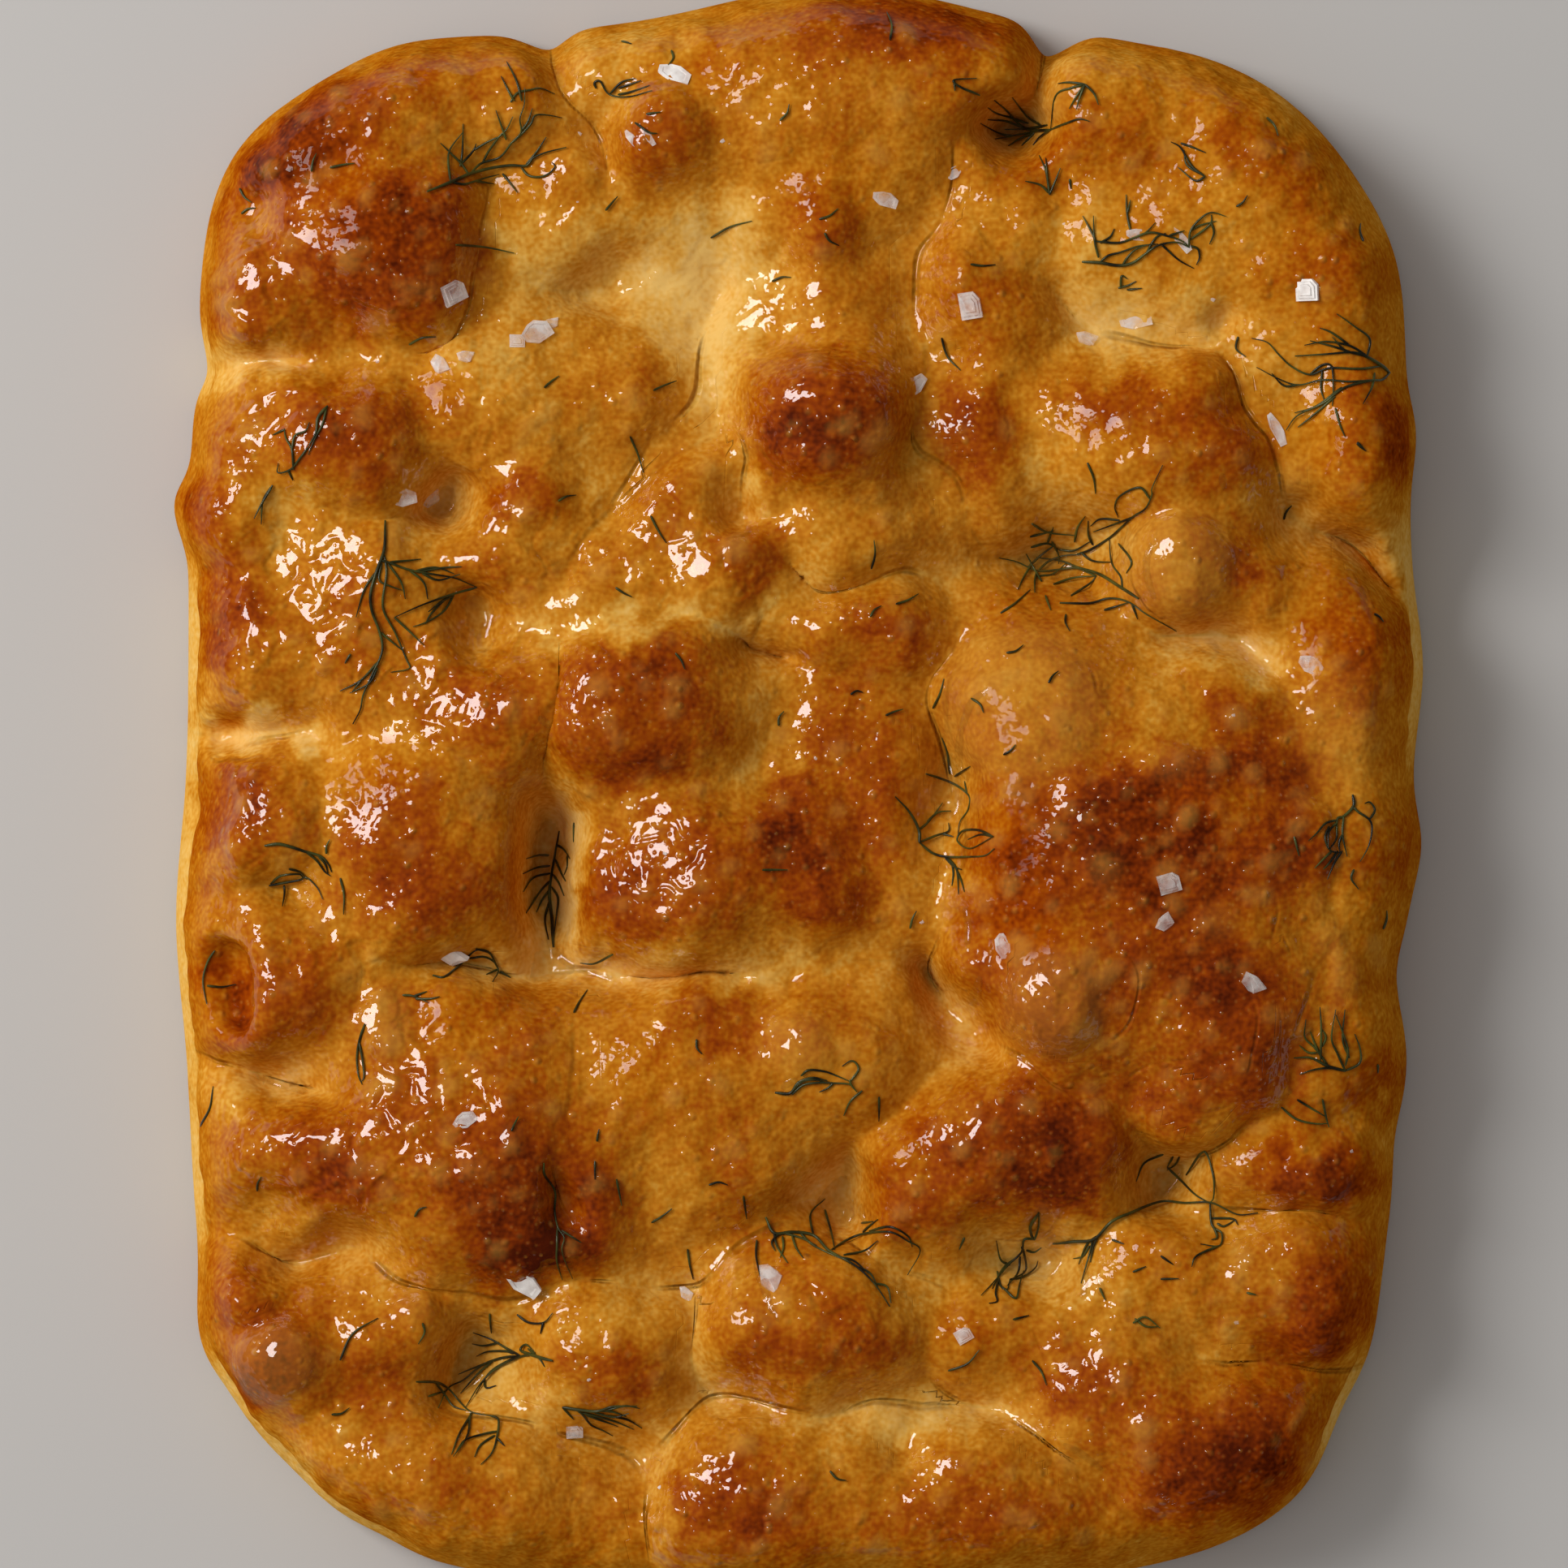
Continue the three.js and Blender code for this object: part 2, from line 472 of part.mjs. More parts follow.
// A flat plan in the tables' places becomes a thin wavy solid that lies on the crust. Where a
// straight edge would cut through a bump, both its ends are raised until it passes over.
function drape(outline, thickness) {
  const plan = new THREE.Shape(outline.map((corner) => corner.clone().divideScalar(SPREAD)));
  const flat = new THREE.ExtrudeGeometry(plan, { depth: thickness, steps: 1, bevelEnabled: false });
  const { cornerAt, edges } = surveyGround(flat);
  for (const { a, b, ground } of edges) {
    let short = 0;
    for (const { t, height } of ground) {
      short = Math.max(short, height - THREE.MathUtils.lerp(a.height, b.height, t));
    }
    a.height += short;
    b.height += short;
  }
  const position = flat.attributes.position;
  for (let i = 0; i < position.count; i += 1) {
    position.setZ(i, position.getZ(i) + cornerAt(i).height);
  }
  return toSolid(flat);
}

function shapeSnippet([x, y, heading, length], index) {
  const bend = SNIPPET_BEND * Math.sin(index * GOLDEN_ANGLE);
  const course = radians(heading + bend / 2);
  const strand = {
    x: x - (length / 2) * Math.cos(course),
    y: y - (length / 2) * Math.sin(course),
    heading,
    bend,
    length,
  };
  const outline = strandOutline(strand, SNIPPET_HALF_WIDTH, 3);
  return drape(outline, SNIPPET_THICKNESS).translate([0, 0, -SNIPPET_THICKNESS / 2]);
}

// The largest closed body of a solid, so that no crumb cut off by the joining stays behind
function largestBody(solid) {
  const bodies = solid.decompose();
  bodies.sort((a, b) => b.volume() - a.volume());
  return bodies[0];
}

function shapeDressedLoaf() {
  let loaf = bareLoaf;
  for (const [index, flake] of FLAKES.entries()) {
    loaf = loaf.add(shapeFlake(flake, index));
  }
  for (const [index, snippet] of SNIPPETS.entries()) {
    loaf = loaf.add(shapeSnippet(snippet, index));
  }
  return largestBody(loaf);
}

// ---------------------------------------------------------------------------------------------
// Larger sprigs of dill, each a body of its own that lies just clear of the crust

// The outline goes up the left of the stem and down its right, and out round each side thread
function sprigOutline({ x, y, heading, bend, length, threads, spread }) {
  const stem = { x, y, heading, bend, length };
  const root = SPRIG_HALF_WIDTH / length;
  const left = [];
  const right = [];
  for (let i = 0; i < threads; i += 1) {
    const t = (i + 1) / (threads + 1);
    const place = strandAt(stem, t);
    const side = i % 2 === 0 ? 1 : -1;
    const foot = beside(place, side * SPRIG_HALF_WIDTH);
    const thread = {
      x: foot.x,
      y: foot.y,
      heading: heading + bend * t + side * spread,
      bend: -side * spread * THREAD_BEND,
      length: length * (THREAD_LENGTH - THREAD_SHORTENING * t),
    };
    const threadHalfWidth = SPRIG_HALF_WIDTH * THREAD_WIDTH;
    const detour = strandOutline(thread, threadHalfWidth, THREAD_STEPS).slice(1, -1);
    const before = beside(strandAt(stem, t - root), side * SPRIG_HALF_WIDTH);
    const after = beside(strandAt(stem, t + root), side * SPRIG_HALF_WIDTH);
    const bare = beside(place, -side * SPRIG_HALF_WIDTH);
    if (side > 0) {
      left.push(before, ...detour, after);
      right.unshift(bare);
    } else {
      right.unshift(after, ...detour, before);
      left.push(bare);
    }
  }
  const cut = strandAt(stem, 0);
  return [
    beside(cut, SPRIG_HALF_WIDTH), ...left,
    beside(strandAt(stem, 1), 0), ...right,
    beside(cut, -SPRIG_HALF_WIDTH),
  ];
}

// A sprig is raised in small steps until it clears the crust with its flakes and threads
function layOnCrust(sprig, loaf) {
  let solid = drape(sprigOutline(sprig), SPRIG_THICKNESS);
  while (!solid.intersect(loaf).isEmpty()) {
    solid = solid.translate([0, 0, LIFT_STEP]);
  }
  return solid.translate([0, 0, SPRIG_GAP]);
}

// ---------------------------------------------------------------------------------------------
// The whole focaccia

const focaccia = new THREE.Group();

function addPiece(name, solid, finish) {
  const mesh = new THREE.Mesh(toGeometry(solid), new THREE.MeshStandardMaterial(finish));
  mesh.name = name;
  focaccia.add(mesh);
}

const loaf = shapeDressedLoaf();
addPiece('focaccia', loaf, CRUST);
for (const [index, sprig] of SPRIGS.entries()) {
  addPiece(`dill_sprig_${String(index + 1).padStart(2, '0')}`, layOnCrust(sprig, loaf), DILL);
}

const box = new THREE.Box3().setFromObject(focaccia.children[0]);
const middle = box.getCenter(new THREE.Vector3());
focaccia.position.set(-middle.x, -middle.y, -box.min.z);

export default focaccia;
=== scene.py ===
# %% [markdown]
# # A whole focaccia, modelled and finished in Blender
#
# The bread is one uncut loaf from a rectangular pan: a field of risen lobes with deep finger holes
# between them, brushed with oil, with flakes of salt and threads of dill on top. This lesson loads
# the measured solids as a fixed frame, builds the finer loaf over them, and then gives it its
# colours, its toppings, a floor, a light and a camera.

# %% The frame
import json
import math

import bpy
import numpy as np
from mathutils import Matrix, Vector
from mathutils.bvhtree import BVHTree

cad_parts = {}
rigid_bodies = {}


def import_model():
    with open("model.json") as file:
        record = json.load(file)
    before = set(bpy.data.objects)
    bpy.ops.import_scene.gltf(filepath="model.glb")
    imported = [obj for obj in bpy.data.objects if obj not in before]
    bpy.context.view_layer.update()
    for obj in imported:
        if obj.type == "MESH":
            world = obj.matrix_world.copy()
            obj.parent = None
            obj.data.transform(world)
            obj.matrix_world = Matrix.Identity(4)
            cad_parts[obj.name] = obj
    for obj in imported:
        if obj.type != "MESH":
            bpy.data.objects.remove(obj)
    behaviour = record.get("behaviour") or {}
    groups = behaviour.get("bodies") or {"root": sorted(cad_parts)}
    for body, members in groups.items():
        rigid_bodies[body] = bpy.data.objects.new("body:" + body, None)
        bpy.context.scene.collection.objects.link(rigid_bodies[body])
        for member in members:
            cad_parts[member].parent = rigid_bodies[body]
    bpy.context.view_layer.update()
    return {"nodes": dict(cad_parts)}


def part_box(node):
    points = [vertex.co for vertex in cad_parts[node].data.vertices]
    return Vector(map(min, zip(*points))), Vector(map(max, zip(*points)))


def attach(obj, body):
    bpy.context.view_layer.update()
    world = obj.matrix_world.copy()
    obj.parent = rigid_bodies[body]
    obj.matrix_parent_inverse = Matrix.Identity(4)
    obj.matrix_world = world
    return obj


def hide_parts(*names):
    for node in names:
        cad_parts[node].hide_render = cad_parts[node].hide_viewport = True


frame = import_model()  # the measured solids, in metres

MM = 0.001  # every table below is in millimetres, and Blender works in metres

print("solids:", len(frame["nodes"]))

# %% [markdown]
# ## The pan's outline
#
# A loaf baked in a rectangular pan has straight sides and round corners, but each lobe presses on
# the side in its own way, so the outline swells and dips. A superellipse gives the rounded
# rectangle, and every swelling is a soft hill of its own with a place, a height and a width. One
# function returns the distance from the middle to the edge for any direction, so the shape of the
# edge is known wherever it is needed.

# %% The outline as a function
HALF_WIDTH = 97.6
HALF_LENGTH = 123.2
CORNER_POWER = 4.6
MIDDLE_Y = -1.5

# x, y, how far out (in if below 0), how wide
EDGE_FORMS = [
    (40.5, 117, -12, 4.5), (6, 122, 7, 26), (-41, 118, -5, 4.5), (-64, 119, 1.6, 12),
    (-92, 98, 4.2, 20), (-96, 69, -2.2, 5), (-98, 45, 2.8, 5.5), (-98, -20, 2, 18),
    (54, 120, -0.4, 8), (96, 84, 2.4, 15), (98, 57, 1.6, 7), (98, 20, 1.9, 12),
    (98, -8, 1.6, 7), (97, -30, -2.4, 9), (95, -56, -1.2, 8), (94, -75, -2.8, 22),
    (86, -100, -2.4, 9), (-96, -86, 2.8, 9), (-80, -110, -2.2, 12), (-67, -118, -1.2, 7),
    (0, -125, 3.3, 40),
]


def outline_radius(angle):
    across = np.abs(np.cos(angle)) / HALF_WIDTH
    along = np.abs(np.sin(angle)) / HALF_LENGTH
    plain = (across**CORNER_POWER + along**CORNER_POWER) ** (-1 / CORNER_POWER)
    x = plain * np.cos(angle)
    y = plain * np.sin(angle) + MIDDLE_Y
    radius = plain.copy()
    for form_x, form_y, out, width in EDGE_FORMS:
        radius += out * np.exp(-((x - form_x) ** 2 + (y - form_y) ** 2) / width**2)
    return radius


around = np.linspace(-math.pi, math.pi, 3600)
edge_x = outline_radius(around) * np.cos(around)
edge_y = outline_radius(around) * np.sin(around) + MIDDLE_Y
MIDDLE = np.array([(edge_x.min() + edge_x.max()) / 2, (edge_y.min() + edge_y.max()) / 2])
print("outline in mm:", round(np.ptp(edge_x), 1), "x", round(np.ptp(edge_y), 1))
print("its middle, which goes to the frame's origin:", MIDDLE.round(2))

# %% [markdown]
# ## The lobes, holes and creases
#
# The crust is the sum of three things that a baker makes by hand. Lobes are the risen cushions
# between the fingers, and each is an oval with a crown. Pokes are the holes that the fingers left.
# Creases are the lines where two lobes met and pressed together. Sculpting them by hand would give
# a surface that nobody can adjust. Here each is one row of a table, so a lobe can be moved or
# raised by changing one number, and a soft maximum runs neighbouring lobes into each other.

# %% Lobes: x, y, half length, half width, turn in degrees, height of the crown
LOBES = [
    (-72, 107, 22, 13, 18, 33), (-45, 112, 10, 9, 0, 29.5), (-29, 120, 11, 8, 0, 28),
    (-22, 106, 8, 7, 0, 32), (10, 112, 28, 15, 0, 33), (50, 110, 13, 11, 0, 30.5),
    (73, 102, 17, 15, -35, 32),
    (-67, 88, 14, 12, 0, 36.5), (-86, 80, 10, 11, 0, 31), (-36, 95, 13, 10, 0, 27),
    (3, 92, 9, 9, 0, 31), (6, 79, 11, 9, 0, 28.5), (30, 82, 10, 15, 8, 31.5),
    (58, 88, 17, 11, -8, 29.5),
    (84, 83, 13, 14, 0, 31),
    (-75, 56, 13, 10, 0, 35), (-92, 47, 8, 13, 0, 30), (-48, 62, 16, 12, -20, 30.5),
    (-27, 62, 12, 10, 0, 29.5), (-43, 48, 9, 7, 0, 31), (5, 61, 11, 9, 0, 38.5),
    (4, 52, 14, 12, 0, 32), (28, 57, 10, 12, 0, 31), (59, 56, 18, 12, -12, 34.5),
    (90, 56, 10, 13, 0, 31.5),
    (-89, 26, 9, 11, 0, 30), (-69, 25, 17, 14, 0, 35.2), (-50, 37, 10, 8, 0, 31),
    (-20, 42, 17, 12, 0, 33), (-30, 31, 12, 6, 10, 30.5), (9, 40, 12, 7, 0, 31),
    (12, 27, 14, 7, -8, 30.5), (61, 37, 9, 9, 0, 34.5), (73, 34, 10, 9, 0, 31),
    (88, 20, 10, 16, 0, 32),
    (-27, 13, 14, 13, 0, 36.5), (-46, 12, 15, 10, -20, 33.4), (-86, -5, 10, 12, 0, 33.5),
    (-62, -9, 16, 15, 0, 35), (9, 6, 14, 16, 0, 27), (-17, -12, 21, 13, 0, 34.5),
    (2, -17, 9, 8, 0, 31.5), (37, 14, 14, 12, 0, 33.5), (65, 14, 15, 10, 0, 32),
    (55, -13, 25, 22, -20, 41), (41, -10, 11, 15, 0, 38.4), (44, -30, 15, 13, 0, 39.3),
    (68, -36, 14, 17, 15, 38.5),
    (91, -10, 10, 17, 0, 33), (89, -34, 10, 14, 0, 32.5),
    (-84, -30, 13, 12, 0, 34.5), (-58, -38, 14, 11, 0, 33), (-86, -58, 9, 9, 0, 30.6),
    (-67, -58, 16, 12, 0, 36.2),
    (-50, -58, 19, 18, -20, 37), (-18, -46, 21, 15, 0, 33.5), (5, -42, 13, 11, 0, 33.5),
    (-12, -61, 17, 8, 0, 31), (31, -55, 20, 9, 34, 36.5), (45, -57, 10, 9, 30, 35),
    (82, -59, 14, 8, 0, 31.5), (80, -79, 14, 11, 0, 31.5), (60, -76, 14, 9, 0, 30),
    (26, -73, 12, 6, 0, 28.5),
    (-90, -80, 8, 7, 0, 31), (-82, -91, 10, 8, 0, 32.5), (-66, -86, 10, 10, 0, 31),
    (-32, -89, 13, 11, 0, 32.5), (0, -84, 15, 11, 0, 35.5), (27, -87, 11, 9, 0, 29.5),
    (46, -90, 13, 10, -20, 31), (63, -103, 18, 13, -18, 33.5), (-60, -111, 25, 12, -16, 32.5),
    (-6, -113, 19, 14, 0, 33.5), (27, -113, 22, 12, 0, 33),
]

# %% Holes and low places: x, y, half length, half width, turn in degrees, depth
POKES = [
    (35, 107, 6, 4.5, 0, 14), (-16, 82, 9, 13, -35, 4), (-32, 82, 9, 6, 0, 6), (-86, 93, 6, 5, 0, 4),
    (-89, 69.5, 9, 3.2, 0, 6), (67, 78, 3, 3, 0, 3), (-57, 47, 5, 3, 15, 8), (-10, 46, 5, 3, -20, 5),
    (42, 37, 12, 7, 8, 11), (90, 37, 8, 3.5, -35, 8), (-53, 28, 7, 5, -40, 8), (-6, 24, 6, 4, 0, 6),
    (66, 24, 12, 4.5, -18, 6), (-92, 10, 7, 3.5, 10, 8), (-41, -11, 4.5, 14, 0, 20),
    (23, -3, 5, 14, -6, 8), (-83, -13, 7, 5, 0, 5), (23, -32, 4, 9, 32, 11), (-92, -30, 5, 8, 10, 5),
    (-28, -29, 16, 3.5, 0, 6), (-52, -28, 8, 4, 0, 6), (-83, -46, 9, 4, -12, 6),
    (58, -61, 7, 5, 25, 10), (6, -65, 7, 6, 0, 11), (-37.5, -64.5, 2.8, 4.6, 8, 5),
    (37, -75, 9, 6.5, 0, 8), (-80, -73, 13, 4, 0, 5), (-52, -91, 9, 6, 35, 9),
]

# %% Creases: how wide, how deep, then the points they pass through
CREASES = [
    (3.4, 3.4, (25, 104), (23.5, 96), (18.5, 87), (18.5, 79), (20, 68), (19.5, 58), (24, 49), (31, 40)),
    (3, 2.2, (28, 95), (35, 86), (41, 80)),
    (2.6, 4.5, (41, 79), (47, 74), (57, 72), (66, 69), (73, 61), (77, 52), (80, 46)),
    (3.5, 8, (80, 45), (86, 39), (100, 31)),
    (2.5, 10, (40.5, 124), (38, 112), (34, 107)),
    (2.8, 5, (-41, 122), (-37, 112), (-30, 101)),
    (3, 3.5, (-60, 70), (-52, 84), (-50, 98)),
    (4, 5, (-31, 46), (-24, 56), (-17, 66), (-12, 80)),
    (2.5, 3.5, (-2, 44), (-9, 48), (-8, 56), (-13, 62)),
    (2.2, 2, (-38, 37), (-33, 44), (-22, 51.5), (-12, 58)),
    (2.5, 4, (-2, 35), (5, 33), (14, 35), (24, 33)),
    (3.2, 6, (26, 25), (21, 13), (24, 1), (27, -9), (24, -19), (22, -28), (28, -39)),
    (2.5, 3, (-38, 24), (-40, 8)),
    (3, 4.5, (-100, 9), (-90, 8.5), (-80, 11)),
    (2.5, 1.2, (-78, 2), (-76, -8), (-72, -20), (-70, -32)),
    (4.6, 3.6, (-60, -30), (-45, -27.5), (-30, -29), (-20, -28.5)),
    (5, 1.2, (-14, -27.5), (0, -29.5), (18, -26)),
    (2.4, 1.6, (82.5, -12), (83.5, -20), (82, -32), (79, -42)),
    (2.6, 4, (79, -43), (75, -51), (66, -57), (54, -55)),
    (2.5, 4, (30, -40), (40, -43), (50, -51)),
    (3, 5, (-98, -42), (-84, -46), (-72, -47)),
    (2.5, 1, (-36, -32), (-36, -45), (-37, -58)),
    (2.2, 3.5, (56, -67), (70, -67), (96, -67)),
    (3.2, 4.4, (-98, -70), (-84, -73), (-68, -76), (-50, -80), (-30, -79), (-17, -79), (-8, -72),
     (5, -71), (15, -76), (24, -79)),
    (2.8, 4.2, (-18, -80), (-16, -92), (-12, -97)),
    (2.8, 4.6, (-58, -99), (-42, -102), (-27, -108), (-23, -127)),
    (3.2, 4, (-27, -106), (-15, -98), (0, -96), (12, -100), (25, -99), (36, -102), (50, -110)),
    (2.8, 4, (21, -92), (30, -99)),
    (2.8, 5, (64, -90), (80, -93), (93, -92)),
]
print("lobes:", len(LOBES), " holes:", len(POKES), " creases:", len(CREASES))

# %% Distances from an oval and from a line
CREASE_STEPS = 6  # stretches that a crease gets between two of its points


def oval_distance(x, y, centre_x, centre_y, half_length, half_width, turn):
    cos, sin = math.cos(math.radians(turn)), math.sin(math.radians(turn))
    along = ((x - centre_x) * cos + (y - centre_y) * sin) / half_length
    across = ((y - centre_y) * cos - (x - centre_x) * sin) / half_width
    return np.hypot(along, across)


def soft_ovals(x, y, rows, power):
    """The sum of soft ovals. Each row is an oval and its amount in the middle."""
    return sum(amount * np.exp(-(oval_distance(x, y, *oval) ** power)) for *oval, amount in rows)


def rounded_line(points):
    """The same line with its corners rounded, so that a crease curves as dough does."""
    p = np.reshape(np.array(points, float), (-1, 2))
    p = np.vstack([2 * p[0] - p[1], p, 2 * p[-1] - p[-2]])
    line = []
    for a, b, c, d in zip(p, p[1:], p[2:], p[3:]):
        for t in np.arange(CREASE_STEPS) / CREASE_STEPS:
            line.append(b + t * (c - a) / 2 + t**2 * (a - 2.5 * b + 2 * c - d / 2)
                        + t**3 * (-a / 2 + 1.5 * b - 1.5 * c + d / 2))
    return np.array(line + [p[-2]])


def line_distance(x, y, points):
    nearest = np.full(x.shape, np.inf)
    line = rounded_line(points)
    for start, step in zip(line, np.diff(line, axis=0)):
        t = np.clip(((x - start[0]) * step[0] + (y - start[1]) * step[1]) / (step @ step), 0, 1)
        distance = np.hypot(x - start[0] - t * step[0], y - start[1] - t * step[1])
        nearest = np.minimum(nearest, distance)
    return nearest


# %% [markdown]
# Real dough has no straight edges. `ripple` adds up a dozen waves that run in random directions,
# which gives smooth random hills about one size apart. The dice are seeded, so the loaf is the same
# on every run. It is used to let the edges of lobes wander, and later to roughen the crust.

# %% Smooth random hills
WAVES = 14


def ripple(x, y, size, seed):
    dice = np.random.default_rng(seed)
    total = np.zeros(np.shape(x))
    for _ in range(WAVES):
        heading, phase = dice.uniform(0, 2 * math.pi, 2)
        length = size * dice.uniform(0.7, 1.5)
        travel = x * math.cos(heading) + y * math.sin(heading)
        total += np.sin(travel * 2 * math.pi / length + phase)
    return total / math.sqrt(WAVES / 2)


# %% Height of the dough
DOUGH_LEVEL = 25
LOBE_FALL = 4.6
LOBE_POWER = 2.2
BLEND = 2.4
POKE_POWER = 2.6
CREASE_POWER = 1.6
CREASE_DEPTH = 0.62  # a crease is filled a little where the lobes press together
CREASE_WIDTH = 1.35
THINNEST = 9
SPREAD = 1.018  # the tables' places lie this much further out than the crust's
WANDER = 0.9  # how far the edge of a lobe strays, in millimetres
WANDER_SIZE = 17  # and over what length


def table_place(x, y):
    x, y = SPREAD * x, SPREAD * y
    return x + WANDER * ripple(x, y, WANDER_SIZE, 1), y + WANDER * ripple(x, y, WANDER_SIZE, 2)


def dough_height(x, y):
    x, y = table_place(x, y)
    total = np.ones(x.shape)
    for *oval, crown in LOBES:
        fallen = LOBE_FALL * oval_distance(x, y, *oval) ** LOBE_POWER
        total += np.exp((crown - DOUGH_LEVEL - fallen) / BLEND)
    height = DOUGH_LEVEL + BLEND * np.log(total) - soft_ovals(x, y, POKES, POKE_POWER)
    for width, depth, *points in CREASES:
        share = line_distance(x, y, points) / (CREASE_WIDTH * width)
        height -= CREASE_DEPTH * depth * np.exp(-(share**CREASE_POWER))
    return np.maximum(height, THINNEST)


# %% [markdown]
# ## The loaf's mesh
#
# A grid is the right start for a broad, dented surface, because its faces stay square and nearly
# equal. Its edge is extruded down to make the side wall, and in again to make the underside, so the
# mesh is closed. The grid is then moved to its real shape in one pass: each point keeps its place
# in the pattern and is given its true place on the loaf. The rings near the rim are drawn closer
# together, because the crust turns down steeply there and needs more points.

# %% A grid with a wall and an underside
ACROSS = 256  # faces across the loaf
ALONG = 318  # faces along it
WALL_ROWS = 8
UNDER_RINGS = (0.97, 0.9)  # rings of the underside, as shares of the outline


def start_afresh():
    if bpy.context.object and bpy.context.object.mode != "OBJECT":
        bpy.ops.object.mode_set(mode="OBJECT")
    bpy.ops.object.select_all(action="DESELECT")


start_afresh()
bpy.ops.mesh.primitive_grid_add(x_subdivisions=ACROSS, y_subdivisions=ALONG, size=2)
loaf = bpy.context.object
loaf.name = "loaf_crust"
bpy.ops.object.mode_set(mode="EDIT")
bpy.ops.mesh.select_mode(type="EDGE")
bpy.ops.mesh.select_all(action="DESELECT")
bpy.ops.mesh.select_non_manifold()
for _ in range(WALL_ROWS):
    bpy.ops.mesh.extrude_region_move(TRANSFORM_OT_translate={"value": (0, 0, -1 / WALL_ROWS)})
so_far = 1
for share in UNDER_RINGS:
    bpy.ops.mesh.extrude_region_move()
    inward = share / so_far
    bpy.ops.transform.resize(value=(inward, inward, 1), center_override=(0, 0, 0))
    so_far = share
bpy.ops.mesh.edge_face_add()
bpy.ops.object.mode_set(mode="OBJECT")
print("grid:", len(loaf.data.vertices), "points,", len(loaf.data.polygons), "faces")


# %% Reading and writing points, in millimetres of the tables
def read_points(piece, what="co"):
    flat = np.empty(len(piece.data.vertices) * 3)
    piece.data.vertices.foreach_get(what, flat)
    return flat.reshape(-1, 3)


def write_points(piece, points):
    piece.data.vertices.foreach_set("co", points.ravel())
    piece.data.update()


def to_frame(x, y, z):
    return np.stack([(x - MIDDLE[0]) * MM, (y - MIDDLE[1]) * MM, z * MM], axis=-1)


# %% [markdown]
# ## From the grid to the loaf
#
# The wall of the loaf leans out a little towards its foot, because the dough filled the pan, and
# tucks in again where it rests. The crust rises from the rim in a quarter of a superellipse, which
# is the shoulder. Dough swells along its own surface and not straight up, so the shape is made a
# little too small and then fattened along its normals: that rounds every lobe and pinches every
# crease, which a height alone can't do.

# %% Shoulder and wall
RIM_HEIGHT = 12
SHOULDER = 10.5
SHOULDER_POWER = 2.3
WALL_FLARE = 2.4
WALL_TUCK = 1.6
WIDEST_HEIGHT = 2.6
SWELL = 0.7  # how far the loaf is fattened
FINE_SHARE = 0.24  # share of the grid's rings that lie in the shoulder
MIDDLE_REACH = 110  # about how far the rim lies from the middle


def ring_reach(ring):
    """Share of the way to the rim: even inside, and closer and closer together near the rim."""
    left = np.clip((1 - ring) / FINE_SHARE, 0, 1) * math.pi / 2
    inner = 1 - SHOULDER / MIDDLE_REACH
    return np.where(ring < 1 - FINE_SHARE, inner * ring / (1 - FINE_SHARE),
                    1 - (1 - inner) * (1 - np.cos(left)))


def wall_inset(height):
    above = np.clip((height - WIDEST_HEIGHT) / (RIM_HEIGHT - WIDEST_HEIGHT), 0, 1)
    below = np.clip((WIDEST_HEIGHT - height) / WIDEST_HEIGHT, 0, 1)
    return WALL_FLARE * above**2 + WALL_TUCK * below**2


def crust_height(x, y):
    outline = outline_radius(np.arctan2(y - MIDDLE_Y, x)) - WALL_FLARE
    share = np.clip((outline - np.hypot(x, y - MIDDLE_Y)) / SHOULDER, 0, 1)
    rounding = (1 - (1 - share) ** SHOULDER_POWER) ** (1 / SHOULDER_POWER)
    return RIM_HEIGHT + (dough_height(x, y) - RIM_HEIGHT) * rounding


# %% Shape the grid
template = read_points(loaf)
u, v, level = template[:, 0], template[:, 1], -template[:, 2]
ring = np.maximum(np.abs(u), np.abs(v))
angle = np.arctan2(v * HALF_LENGTH, u * HALF_WIDTH)
square = np.hypot(u * HALF_WIDTH, v * HALF_LENGTH) / np.maximum(ring, 1e-9)
wall_height = RIM_HEIGHT * (1 - level)
outline = outline_radius(angle) - wall_inset(wall_height)
on_top = level < 0.5 / WALL_ROWS
under = (level > 1 - 0.5 / WALL_ROWS) & (ring < 1 - 1e-4)
reach = np.where(on_top, ring_reach(ring), ring)
radius = reach * (square + (outline - square) * reach**2)
loaf_x = radius * np.cos(angle)
loaf_y = radius * np.sin(angle) + MIDDLE_Y
loaf_z = np.where(on_top, crust_height(loaf_x, loaf_y), wall_height)
write_points(loaf, to_frame(loaf_x, loaf_y, loaf_z))
print("lowest and highest crust in mm:", loaf_z[on_top].min().round(1), loaf_z.max().round(1))

# %% [markdown]
# ## The big blister's overhang
#
# The tallest lobe is a bubble that blew up over its neighbours, so its near and right edges hang
# over the crease below. A height alone gives one level for each place and can't overhang. The
# points along that edge are therefore also pushed outwards, the more the higher they stand.

# %% Push the rim of the big blister outwards
BLISTER_RIM = [(79, -6), (80, -13), (80.5, -20), (80, -28), (79, -34), (77.5, -42), (74, -49),
               (67, -53.5), (60, -55), (53, -51)]
BLISTER_MIDDLE = (58, -22)
OVERHANG = 2.2
RIM_WIDTH = 3.4
OVERHANG_LEVEL = 29  # the crease below stays where it is
OVERHANG_RISE = 5  # above that level the push grows over this height


def overhang(x, y, z):
    near_rim = np.exp(-((line_distance(x, y, BLISTER_RIM) / RIM_WIDTH) ** 2))
    raised = np.clip((z - OVERHANG_LEVEL) / OVERHANG_RISE, 0, 1)
    out_x, out_y = x - BLISTER_MIDDLE[0], y - BLISTER_MIDDLE[1]
    length = np.maximum(np.hypot(out_x, out_y), 1)
    push = OVERHANG * near_rim * raised
    return x + push * out_x / length, y + push * out_y / length


